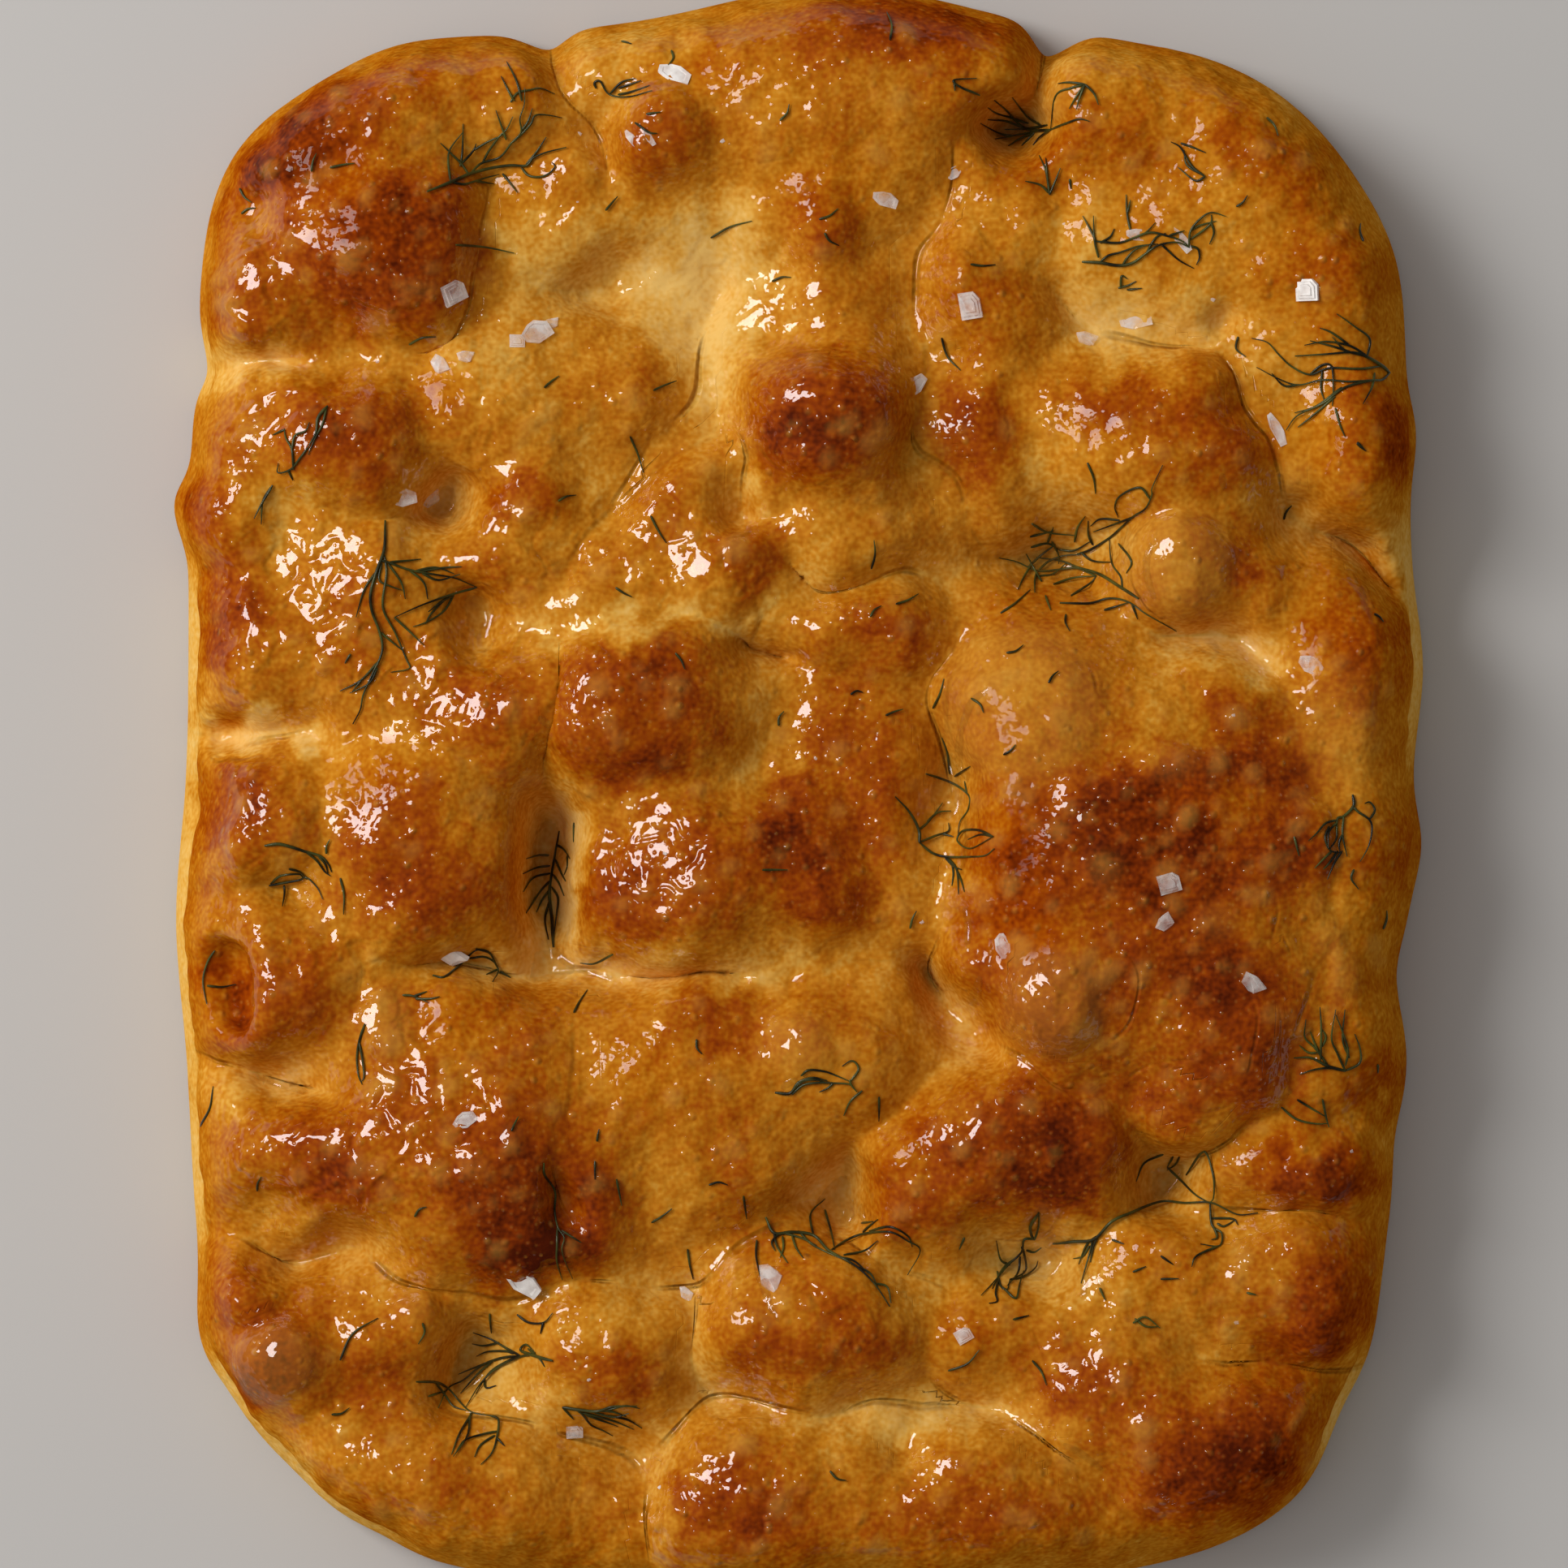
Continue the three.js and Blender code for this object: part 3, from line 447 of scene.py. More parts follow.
loaf_x, loaf_y = overhang(loaf_x, loaf_y, loaf_z)
write_points(loaf, to_frame(loaf_x, loaf_y, loaf_z))

# %% Fatten the loaf along its normals
start_afresh()
loaf.select_set(True)
bpy.context.view_layer.objects.active = loaf
bpy.ops.object.mode_set(mode="EDIT")
bpy.ops.mesh.select_all(action="SELECT")
bpy.ops.mesh.normals_make_consistent(inside=False)
bpy.ops.transform.shrink_fatten(value=SWELL * MM)
bpy.ops.object.mode_set(mode="OBJECT")
bpy.ops.object.shade_smooth()
fattened = read_points(loaf)
print("box after fattening in mm:", (np.ptp(fattened, axis=0) / MM).round(1))

# %% [markdown]
# ## Blisters and skin
#
# Steam lifts the skin of the crust into blisters. The large ones are rows of a table. The small
# ones are scattered by seeded dice, more of them where the crust stands high and bakes hard. Each
# blister lifts the points under it along their own normals, so it also works on a slope.

# %% Blisters: x, y, half length, half width, turn in degrees, height
BLISTERS = [
    (60, 37, 7.5, 7.2, 0, 2.1), (35.5, 14, 11, 11, 0, 2.5), (-84, -91, 6, 5.4, 0, 2),
    (0, -40, 5.2, 4.4, 0, 1.1), (-66, -37, 4, 5.6, 0, 1.1), (79, 51, 3.4, 3.2, 0, 1),
    (84, -23, 3, 3, 0, 0.9), (86.5, -29, 2.6, 5, 0, 0.8), (-62, -82, 3, 2.6, 0, 0.9),
    (-13, -29, 3, 2.4, 0, 0.9), (-85, -75, 3.2, 2.6, 0, 0.9), (86, 10, 6.5, 11, 0, 0.8),
    (-43, -40, 1.7, 1.7, 0, 0.5), (-51, -44, 1.6, 1.6, 0, 0.5), (-51, -59, 1.8, 1.8, 0, 0.6),
    (-32, -62, 1.6, 1.6, 0, 0.5), (-46, -54, 1.7, 1.7, 0, 0.5), (66, -20, 3.4, 3, 0, 0.6),
    (59, 5, 4.5, 3, 10, 0.7), (48, -12, 3.2, 3, 0, 0.6), (30, 22, 3.6, 2.6, -20, 0.7),
    (-8, 56, 3, 2.4, 0, 0.6), (40.5, -33, 6.8, 7.4, 0, 2.6),
]
# raised places that baked hard, in the same columns
KNOBS = [
    (4.5, 61, 11, 9.8, 0, 1.8), (-26, 14.5, 12.5, 12, 0, 1.2), (-22, 106, 6, 5.5, 0, 0.8),
    (-67, 88, 13, 11, 0, 0.8), (-20, -12, 15, 11, 0, 0.7), (0, -84, 13, 10, 0, 0.7),
    (-82, -29, 6, 8.5, 0, 1.4),
]
SCATTERED = 800
FIRST_BLISTERS = 24  # height below which the crust has no small ones
MOST_BLISTERS = 38  # and height from which every try gives one
BLISTER_POWER = 4  # how steep the edge of a blister is
ROOM = 1.7  # a blister doesn't reach beyond this many times its half length


def blister_lift(x, y, rows):
    lift = np.zeros(x.shape)
    for *oval, height in rows:
        room = ROOM * max(oval[2:4])
        near = (np.abs(x - oval[0]) < room) & (np.abs(y - oval[1]) < room)
        lift[near] += height * np.exp(-(oval_distance(x[near], y[near], *oval) ** BLISTER_POWER))
    return lift


dice = np.random.default_rng(11)
try_x, try_y = dice.uniform(-96, 96, 6 * SCATTERED), dice.uniform(-122, 122, 6 * SCATTERED)
chance = (dough_height(try_x, try_y) - FIRST_BLISTERS) / (MOST_BLISTERS - FIRST_BLISTERS)
taken = np.flatnonzero(dice.random(6 * SCATTERED) < chance)[:SCATTERED]
small = []
for x, y in zip(try_x[taken], try_y[taken]):
    size = 0.8 + 0.9 * dice.random() ** 3
    small.append((x, y, size * dice.uniform(0.9, 1.5), size, dice.uniform(0, 180), 0.22 * size))
print("blisters:", len(BLISTERS), "named and", len(small), "scattered")

# %% [markdown]
# Low forms about a millimetre high decide where a wet crust shines, because oil mirrors the window
# only where the skin leans towards it. Each row below leans one round place. The height grows evenly
# from its middle to the right and away from the reader, and fades out at its edge, so that nothing
# is torn.

# %% Leaning places: x, y, reach, extra slope to the right and away from the reader
LEANING = [
    (-76, -58, 12, 0.08, 0.3), (-64, -55, 12, 0.22, -0.05), (-64, -44, 9, -0.06, 0.1),
    (-53, -56, 10, 0.18, 0.0), (-66, 15, 12, 0.36, -0.42), (-55, 16, 12, 0.34, -0.3),
    (-44, 15, 10, 0.28, 0.04), (-26, -5, 11, 0.18, 0.0), (-25, -15, 10, 0.2, -0.28),
    (-15, -14, 9, 0.14, -0.08), (-75, 35, 10, 0.12, 0.24), (-86, 26, 9, 0.04, -0.2),
    (-75, 24, 10, 0.14, -0.16), (-15, 36, 12, 0.42, -0.38), (-75, -25, 9, 0.52, 0.0),
    (-87, -5, 9, 0.3, -0.26), (-65, 75, 9, 0.26, -0.14), (-24, -115, 10, 0.2, -0.3),
    (44, -95, 9, 0.14, -0.3), (4, -85, 9, 0.18, -0.1), (-45, 36, 9, 0.22, -0.12), (-54, 40, 8, 0.2, -0.1),
]


def lean(x, y):
    lift = np.zeros(x.shape)
    for lean_x, lean_y, reach, across, along in LEANING:
        right, away = x - lean_x, y - lean_y
        lift += (across * right + along * away) * np.exp(-(right**2 + away**2) / reach**2)
    return lift


# %% Skin: the crust's own roughness, its blisters and the burst one
CRATER = (-91.5, -31, 3.8, 7.6, 12)  # the blister that burst: x, y, half length, half width, turn
CRATER_DEPTH = 4.2
CRATER_POWER = 7  # how steep its side is
SKIN = ((10, 0.16, 21), (5, 0.07, 22), (2.8, 0.03, 23))  # size, height and seed of each ripple
SMOOTH_TO, FULL_FROM = 4, 14  # the foot of the wall touched the pan and is smooth


def skin_lift(x, y):
    x, y = SPREAD * x, SPREAD * y
    lift = blister_lift(x, y, BLISTERS + KNOBS) + blister_lift(x, y, small) + lean(x, y)
    for size, height, seed in SKIN:
        lift += height * ripple(x, y, size, seed)
    return lift - CRATER_DEPTH * np.exp(-(oval_distance(x, y, *CRATER) ** CRATER_POWER))


normals = read_points(loaf, "normal")
reach_of_skin = np.clip((loaf_z - SMOOTH_TO) / (FULL_FROM - SMOOTH_TO), 0, 1)
skin = (skin_lift(loaf_x, loaf_y) * reach_of_skin)[:, None]
print("skin, lowest and highest in mm:", skin.min().round(2), skin.max().round(2))
points = fattened + normals * skin * MM

# %% [markdown]
# ## Sharp lines in the crust
#
# At the bottom of a crease two skins meet in a line much thinner than the mesh's faces, and thin
# skin that sank back after baking lies in small folds. Neither needs points of its own. Each point
# stores how far it is from the nearest such line, above 0 on the left of the line and below 0 on
# its right. Between two points the number runs evenly through 0, so the material finds the line
# exactly where it is and can draw it as thin as it likes.

# %% Folds: how deep from 0 to 1, then the points they pass through
FOLDS = [
    (0.8, (31, -19), (30.4, -27), (32, -34.5), (35.4, -40)), (0.5, (35.6, -24), (33.6, -29), (34.8, -35.4),
    (38, -40)), (0.6, (47, -23.5), (51, -26), (53.4, -31), (52, -37), (47, -41.4)), (0.8, (46, -46),
    (53, -45.6), (59.5, -43.6), (63, -41), (64.4, -37.6), (66.6, -34.5)), (0.6, (60, -40.8), (61.2, -46),
    (64.4, -50), (69, -51)), (0.5, (69, -33), (71, -39.7), (70.4, -47)), (0.5, (75, -35), (77, -41),
    (75.6, -47)), (0.6, (76.6, -21), (79, -27), (79.4, -34)), (0.5, (73, -12), (75.6, -18), (74.6, -25)),
    (0.5, (51, -54.4), (57, -53.2), (64, -53.4)), (0.7, (-61, 45.2), (-56, 45), (-51.6, 48)), (0.8,
    (-12.6, 59), (-10.6, 64.4), (-7, 68), (0, 71), (8, 71)), (0.7, (-6.6, 60), (-4, 54), (2, 51), (9, 52),
    (14.4, 57.6)), (0.4, (-2, 68.6), (4, 69.8), (10, 68)), (1, (56.6, 43), (54.6, 38), (55.2, 32.4),
    (59, 29)), (0.4, (64, 43.4), (67.4, 39), (68, 33)), (1, (29, 24), (25.4, 17), (24.6, 9), (27, 3)), (0.5,
    (44, 21), (46.4, 14), (44.4, 8), (39, 3.6)), (0.3, (30, 20), (36, 22), (42, 19.4)), (0.6, (-91, -84.6),
    (-86, -82.6), (-81, -84)), (0.5, (-91.6, -81.6), (-86.4, -80), (-81.6, -81.4)), (0.9, (-39.6, -57),
    (-37.6, -63), (-36.6, -70)), (0.5, (53, -112.6), (59, -116), (66, -118.4)), (0.4, (58, -109.6),
    (64, -113.4), (71, -116)), (0.6, (-38.6, 10), (-38.4, 15.4), (-35, 21)), (0.5, (-17, 97), (-10, 99.4),
    (-1, 102)), (0.5, (14, -63), (18.6, -69), (27, -71), (36, -69.6), (46, -64.6)), (0.4, (35, -84),
    (37, -89), (40, -94.6)), (0.5, (-89.6, -90.4), (-87.6, -86.4), (-83.4, -85.4), (-79.4, -88)), (0.4,
    (58, 78), (61, 82), (59, 87)),
]
CREASE_FADE = 6  # a line fades out over this much of its length, in millimetres
LINE_ROOM = 3.5  # a line's distance is stored this far to each side of it
FULL_CREASE = 4  # a crease this deep is drawn at full strength
BROKEN, BROKEN_SIZE = 0.55, 15  # a line is weaker here and there, over this length


def nearest_line(x, y, lines):
    """Signed distance from the line that counts most at each place, and how deep it is there."""
    offset, depth, counts = (np.zeros(x.shape) for _ in range(3))
    for strength, *points in lines:
        line = rounded_line(points)
        low, high = line.min(axis=0) - LINE_ROOM, line.max(axis=0) + LINE_ROOM
        near = np.flatnonzero((x > low[0]) & (x < high[0]) & (y > low[1]) & (y < high[1]))
        px, py = x[near], y[near]
        steps = np.diff(line, axis=0)
        lengths = np.hypot(*steps.T)
        passed = np.concatenate([[0], np.cumsum(lengths)])
        closest, side, where = (np.full(px.shape, value) for value in (np.inf, 1.0, 0.0))
        for start, step, length, before in zip(line, steps, lengths, passed):
            dx, dy = px - start[0], py - start[1]
            t = np.clip((dx * step[0] + dy * step[1]) / length**2, 0, 1)
            away = np.hypot(dx - t * step[0], dy - t * step[1])
            closer = away < closest
            closest[closer] = away[closer]
            side[closer] = np.sign(step[0] * dy - step[1] * dx)[closer]
            where[closer] = (before + t * length)[closer]
        # a real line fades at its ends and breaks off here and there
        fade = np.clip(np.minimum(where, passed[-1] - where) / CREASE_FADE, 0, 1)
        broken = np.clip(BROKEN + BROKEN * ripple(px, py, BROKEN_SIZE, 41), 0, 1)
        here = strength * fade * broken * (closest < LINE_ROOM)
        weight = here * np.exp(-closest)
        wins = weight > counts[near]
        counts[near[wins]] = weight[wins]
        offset[near[wins]] = (side * closest)[wins]
        depth[near[wins]] = here[wins]
    return offset, depth


crease_lines = [(min(depth / FULL_CREASE, 1), *points) for _, depth, *points in CREASES]
table_x, table_y = table_place(loaf_x, loaf_y)
LINES = {"crease": nearest_line(table_x, table_y, crease_lines),
         "fold": nearest_line(table_x, table_y, FOLDS)}
print("points by a crease:", int((LINES["crease"][1] > 0).sum()), " by a fold:",
      int((LINES["fold"][1] > 0).sum()))

# %% [markdown]
# The loaf is now fitted to the box of its measured solid, so that both have the same size. The
# underside is pressed flat, because the loaf stood on the pan.

# %% Fit the loaf to its measured box
box_low, box_high = (np.array(corner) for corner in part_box("focaccia"))
HEADROOM = 0.3 * MM
PRESSED = 0.9 * SWELL * MM  # how much of the fattened underside is pressed flat
box_high[2] -= HEADROOM
low, high = points.min(axis=0), points.max(axis=0)
low[2] += PRESSED
points = box_low + (points - low) / (high - low) * (box_high - box_low)
points[:, 2] = np.maximum(points[:, 2], 0)
write_points(loaf, points)
print("loaf in mm:", (np.ptp(points, axis=0) / MM).round(1), " box:",
      ((box_high - box_low) / MM).round(1))

# %% [markdown]
# ## How brown each place is
#
# Colour tells how a place was baked. Crowns stand near the heat and go brown, valleys stay pale,
# and so does the side that the pan kept from the heat. One number per point, from 0 for pale to 1
# for dark, carries this to the material. It could be painted by hand, but a table of soft spots
# can be read and changed. Where a spot's amount is below 0 it makes the place paler. A few spots
# darken hollows as painted shade, and one pales a wall that the window lights, as painted light.

# %% Spots: x, y, half length, half width, turn in degrees, how much browner; a few are painted shade and one is painted light
BROWNING_SHADE_AND_LIGHT_SPOTS = [
    (-66, 87, 14, 13, 0, 0.36), (-80, 103, 18, 7, 38, 0.36), (-72, 74, 8, 5, 0, 0.12),
    (-88, 84, 8, 12, 0, 0.08), (-22, 106, 6, 5, 0, 0.16), (18, 124, 17, 6, 0, 0.32),
    (3, 93, 7, 6.5, 0, 0.2), (30, 77, 9, 10, 0, 0.1), (82, 88, 10, 12, 0, 0.02),
    (75, 103, 10, 5, -35, 0.14), (97, 58, 5, 9, 0, 0.26), (4.5, 61, 11.5, 10, 0, 0.21),
    (3, 56, 11, 4, 0, 0.14), (28, 57, 7, 9, 0, 0.22), (53, 61, 10, 5, -10, 0.18), (69, 56, 7, 7, 0, 0.18),
    (68, 38, 7, 5, 0, 0.24), (-75, 56, 12, 7, 0, 0.2), (-62, 62, 8, 8, 0, 0.1), (-96, 46, 4, 5, 0, 0.3),
    (-91, 34, 6, 8, 0, 0.2), (-93, 24, 5, 6, 0, 0.24), (-87, 17, 9, 6, 0, -0.04),
    (-70, 22, 12, 10, 0, 0.05), (-52, 15, 10, 7, 0, 0.14), (-46, 48, 8, 4, 0, 0.2), (-8, 38, 7, 5, 0, 0.17),
    (-24, 44, 12, 6, 20, 0.04), (14, 27, 8, 3, -20, 0.17), (-27, 14, 13, 11, 0, 0.24),
    (-29, 4, 9, 3.5, 10, 0.2), (-24, 19, 6, 4, 0, 0.1), (-93, -1, 6, 7, 0, 0.24), (-80, -4, 9, 7, 0, 0.04),
    (-64, -8, 10, 9, 0, 0.22), (-60, -17, 12, 6, 0, 0.15), (-26, -18, 11, 5, 0, 0.17),
    (-3, -3, 5, 6, 0, 0.3), (-2, -10, 6, 5, 0, 0.2), (4, -17, 8, 4.5, -15, 0.24), (-20, -8, 9, 6, 0, 0.08),
    (56, -9, 16, 11, -8, 0.36), (54, 2, 14, 5, 15, 0.22), (72, 4, 11, 4, -5, 0.24), (78, -9, 5, 9, 0, 0.22),
    (57, -26, 14, 9, 0, 0.2), (70, -38, 10, 14, 15, 0.28), (44, -38, 11, 8, 0, 0.16),
    (88, 23, 9, 10, 0, 0.14), (70, 13, 6, 4, 0, 0.18), (94, -12, 5, 9, 0, 0.1), (93, -46, 5, 5, 0, 0.2),
    (30, -56, 19, 7.5, 34, 0.24), (42, -61, 10, 6, 25, 0.3), (44, -52, 9, 5, 20, 0.14),
    (-47, -64, 13, 13, -15, 0.2), (-42, -74, 10, 6, 0, 0.24), (-33, -64, 5, 8, 0, 0.18),
    (-74, -62, 11, 5, 0, 0.22), (-91.5, -31, 3.8, 7.6, 12, 0.34), (-81, -30, 8, 9, 0, 0.1),
    (-12, -36, 9, 5, 0, 0.14), (-20, -52, 14, 7, 0, 0.08), (-84, -83, 9, 4.5, 12, 0.12),
    (-92, -78, 4, 6, 0, 0.1), (-66, -99, 14, 6, -18, 0.16), (-50, -114, 16, 6, -18, 0.04),
    (8, -86, 8, 6, 0, 0.19), (-6, -89, 8, 5, 0, 0.14), (-10, -113, 12, 7, 0, 0.24),
    (28, -115, 14, 7, 0, 0.1), (83, -61, 11, 4, 0, 0.26), (86, -81, 9, 8, 0, 0.24),
    (80, -87, 9, 5, 0, 0.16), (45, -95, 9, 6, -15, 0.22), (66, -107, 16, 10, -18, 0.34),
    (76, -100, 10, 9, -18, 0.14), (-31, -92, 7, 5, 0, 0.14), (-85, -47, 10, 3, 0, -0.2),
    (-16, 82, 13, 13, -35, -0.32), (-30, 119, 12, 8, 0, -0.18), (-86, 93, 6, 4, 0, -0.24),
    (-90, 69.5, 8, 3.4, 0, -0.26), (-13, 70, 6, 9, 0, -0.18), (-84, 49, 4, 11, -10, -0.16),
    (-24, 27, 18, 3.4, 8, -0.28), (-12, 60, 5, 5, 0, -0.06), (-7, 50, 3, 7, 10, -0.16),
    (38, 53, 7, 9, 0, -0.14), (8, 39, 12, 6, 0, -0.08), (9, 4, 10, 19, 0, 0.22), (-30, -28, 34, 4, 0, -0.2),
    # the pale spot at (-37, -12), on the lit right wall of the long finger hole, is painted light
    (-37, -12, 2.6, 14, 0, -0.36), (25, -28, 3, 9, 0, -0.1), (35.5, 14, 11.5, 11.5, 0, 0.02),
    (60, 37, 8, 8, 0, -0.16), (71, 22, 13, 4, -14, -0.24), (-42, -95, 8, 5, 0, -0.18),
    (-22, -112, 3, 9, 0, -0.22), (-16, -92, 4, 6, 0, -0.18), (14, -100, 18, 4, 0, -0.18),
    (12, -66, 9, 6, 0, 0.02), (44, -79, 9, 7, 0, -0.16), (48, 113, 12, 8, 0, -0.12),
    (98, 40, 8, 7, 0, -0.26), (22, 0, 3.4, 20, 0, -0.03), (58, 78, 16, 5, -15, -0.14),
    (-88, 10, 10, 3, 0, -0.34), (62, -78, 12, 8, 0, 0.07), (-38, 84, 14, 8, 0, -0.12),
    (-52, 70, 8, 6, 0, -0.12), (50, 74, 16, 5, -20, -0.1), (-33, -84, 16, 8, 0, -0.08),
    (18, -82, 6, 13, 0, -0.08), (-16, -12, 22, 13, 0, 0.1), (-43, -67, 11, 11, 0, 0.16),
    (56, -8, 21, 10, -5, 0.08), (42, -61, 8, 6, 30, 0.1), (-70, -50, 16, 14, 0, 0.08),
    (40, 90, 12, 10, 0, -0.08), (64, 98, 26, 18, 0, -0.06), (-40, 90, 9, 9, 0, -0.06),
    (-40, 60, 9, 9, 0, -0.05), (-84, -91, 5.5, 5, 0, 0.34), (40, -30.5, 7, 6.5, 0, -0.1),
    (-58, -108, 26, 9, -20, -0.08), (20, 74, 6, 20, 0, 0.06), (-56, -42, 16, 13, 0, 0.1),
    (-46, -46, 10, 12, 0, 0.06), (40, 100, 8, 8, 0, 0.05), (-20, -38, 16, 8, 0, 0.04),
    (-56, 16, 12, 8, -20, 0.06), (84, 88, 9, 14, 0, 0.05), (45, 102, 14, 9, 0, 0.12),
    (58, 106, 14, 9, -20, 0.08), (36, -14, 8, 16, 0, 0.14), (82, -60, 10, 5, 0, 0.06),
    (-48, 62, 10, 9, 0, -0.06), (24, 10, 5, 12, 0, 0.08), (60, -22, 26, 28, 0, 0.05),
    # the spots at (25, -14) on this line, in the trench left of the big blister, and at (-6, -70) on the
    # next, by a finger hole, are painted shade
    (56, -45, 9, 8, 0, 0.12), (77, 6, 7, 13, 0, 0.12), (25, -14, 4, 18, 0, 0.1), (50, -2, 9, 6, 0, -0.08),
    (33, -22, 9, 18, 0, 0.1), (44, 30, 14, 9, 0, 0.07), (-6, -70, 9, 7, 0, 0.08), (-32, -70, 8, 8, 0, 0.05),
    (-10, 71, 9, 9, 0, 0.06), (-70, -88, 12, 8, 0, 0.04), (30, -88, 9, 9, 0, 0.05),
]
print("spots of browning:", len(BROWNING_SHADE_AND_LIGHT_SPOTS))

# %% Relief against the loaf's broad form
CELL = 1.5
FIELD = (106, 134)  # the cells reach this far from the middle, across and along
BROAD = 9  # the broad form is an average over about this far, in millimetres


def smooth_rows(values, sigma):
    reach = int(3 * sigma)
    weights = np.exp(-(np.arange(-reach, reach + 1) ** 2) / (2 * sigma**2))
    weights /= weights.sum()
    padded = np.pad(values, ((0, 0), (reach, reach)), mode="edge")
    return sum(w * padded[:, n:n + values.shape[1]] for n, w in enumerate(weights))


across_cells = np.arange(-FIELD[0], FIELD[0] + 1, CELL)
along_cells = np.arange(-FIELD[1], FIELD[1], CELL)
cell_x, cell_y = np.meshgrid(across_cells, along_cells)
crust_cells = crust_height(cell_x, cell_y)
broad_cells = smooth_rows(smooth_rows(crust_cells, BROAD / CELL).T, BROAD / CELL).T


def read_cells(cells, x, y):
    column = np.clip((x - across_cells[0]) / CELL, 0, len(across_cells) - 1.001)
    row = np.clip((y - along_cells[0]) / CELL, 0, len(along_cells) - 1.001)
    c, r = column.astype(int), row.astype(int)
    s, t = column - c, row - r
    near = cells[r, c] * (1 - s) + cells[r, c + 1] * s
    far = cells[r + 1, c] * (1 - s) + cells[r + 1, c + 1] * s
    return near * (1 - t) + far * t


print("crust against the broad form in mm:", np.ptp(crust_cells - broad_cells).round(1))


# %% Browning of a place, with the painted shade and light of a few spots
BASE_BROWNING = 0.40
RELIEF_BROWNING = 0.022  # browner by this for each millimetre above the broad form
RIM_FADE = 13  # near the rim the relief says less, because all of it falls away
RIM_BROWNING = 0.03
RELIEF_LIMITS = (-0.22, 0.12)
SPOT_POWER = 3.0
WALL_TOP = 15.5  # the pan kept the wall pale up to here
SPOT_FOOT, SPOT_TOP = 5, 15  # down the wall the spots fade out between these heights
FOOT_SPOTS = 0.2  # share of a spot that is left at the foot
PALE_WALL = 0.10
SIDE_POWER = 4
WALL_FADE = 3
# how far, over what length and with which seed the edges of spots stray
SPOT_WANDER = ((1.3, 9, 31), (0.5, 3.5, 37))
FOOT_WANDER = (2, 11, 39)
WALL_WANDER = (0.8, 14, 35)
MOTTLES = ((0.03, 22, 33), (0.02, 7, 34))  # the same for the browning itself
TOP_PALER, TOP_LIMIT = 0.10, 0.4  # small blisters are paler by this for each millimetre
UNDERSIDE = 0.52
# x, y, half length, half width, turn: stretches of the side that stayed pale
PALE_SIDES = [
    (-99, 24, 5, 13, 0), (-96, 7, 9, 6, 0), (-100, -24, 6, 28, 0), (-98, -60, 5, 14, 0),
    (-92, -98, 8, 8, 0), (-78, -110, 17, 6, -38), (98, 26, 6, 20, 0), (88, -100, 8, 10, 0),
    (-97, 70, 5, 6, 0),
]


def rim_distance(x, y):
    """How far inside the widest outline a place lies."""
    return outline_radius(np.arctan2(y - MIDDLE_Y, x)) - np.hypot(x, y - MIDDLE_Y)


def browning(x, y, z):
    value = np.full(x.shape, BASE_BROWNING)
    above = z - read_cells(broad_cells, x, y)
    inside = np.clip(rim_distance(x, y) / RIM_FADE, 0, 1)
    value += np.clip(RELIEF_BROWNING * above, *RELIEF_LIMITS) * inside**2 + RIM_BROWNING * (1 - inside)
    x, y = SPREAD * x, SPREAD * y
    spot_x, spot_y = x, y
    for far, size, seed in SPOT_WANDER:
        spot_x = spot_x + far * ripple(x, y, size, seed)
        spot_y = spot_y + far * ripple(x, y, size, seed + 1)
    # a few of these spots add painted shade to hollows and painted light to a lit wall
    value += soft_ovals(spot_x, spot_y, BROWNING_SHADE_AND_LIGHT_SPOTS, SPOT_POWER)
    far, size, seed = FOOT_WANDER
    shown = np.clip((z + far * ripple(x, y, size, seed) - SPOT_FOOT) / (SPOT_TOP - SPOT_FOOT), 0, 1)
    value = BASE_BROWNING + (value - BASE_BROWNING) * (FOOT_SPOTS + (1 - FOOT_SPOTS) * shown)
    for amount, size, seed in MOTTLES:
        value += amount * ripple(x, y, size, seed)
    value -= TOP_PALER * np.clip(blister_lift(x, y, small), 0, TOP_LIMIT)
    side = np.zeros(x.shape)
    for oval in PALE_SIDES:
        side = np.maximum(side, np.exp(-(oval_distance(x, y, *oval) ** SIDE_POWER)))
    far, size, seed = WALL_WANDER
    pale = side * np.clip((WALL_TOP + far * ripple(x, y, size, seed) - z) / WALL_FADE, 0, 1)
    value = value * (1 - pale) + PALE_WALL * pale
    return np.clip(value, 0, 1)


# %% Browning of every point
def set_attribute(piece, name, values):
    attribute = piece.data.attributes.new(name, "FLOAT", "POINT")
    attribute.data.foreach_set("value", values)


brown = browning(loaf_x, loaf_y, loaf_z)
underside_brown = UNDERSIDE + 0.10 * ripple(loaf_x, loaf_y, 18, 36)
brown = np.where(under, underside_brown, brown)
set_attribute(loaf, "browning", brown)
for kind, (offset, depth) in LINES.items():
    set_attribute(loaf, kind + "_offset", offset)
    set_attribute(loaf, kind + "_depth", depth)
print("browning, pale to dark:", np.percentile(brown, [2, 25, 50, 75, 98]).round(2))

# %% [markdown]
# ## Where the crust is wet, blistered or wrinkled
#
# Three more numbers go with every point. Oil was brushed on the top, so steep sides, the rim and
# the underside are dry, and some places soaked it up. Thin skin over a blister is paler than the
# crust beside it. Where the skin dried in small wrinkles, the window's reflection breaks up into
# jagged sheets, and elsewhere it shows as fine sparks. The numbers say how much of each there is,
# and the material turns them into shine and relief.

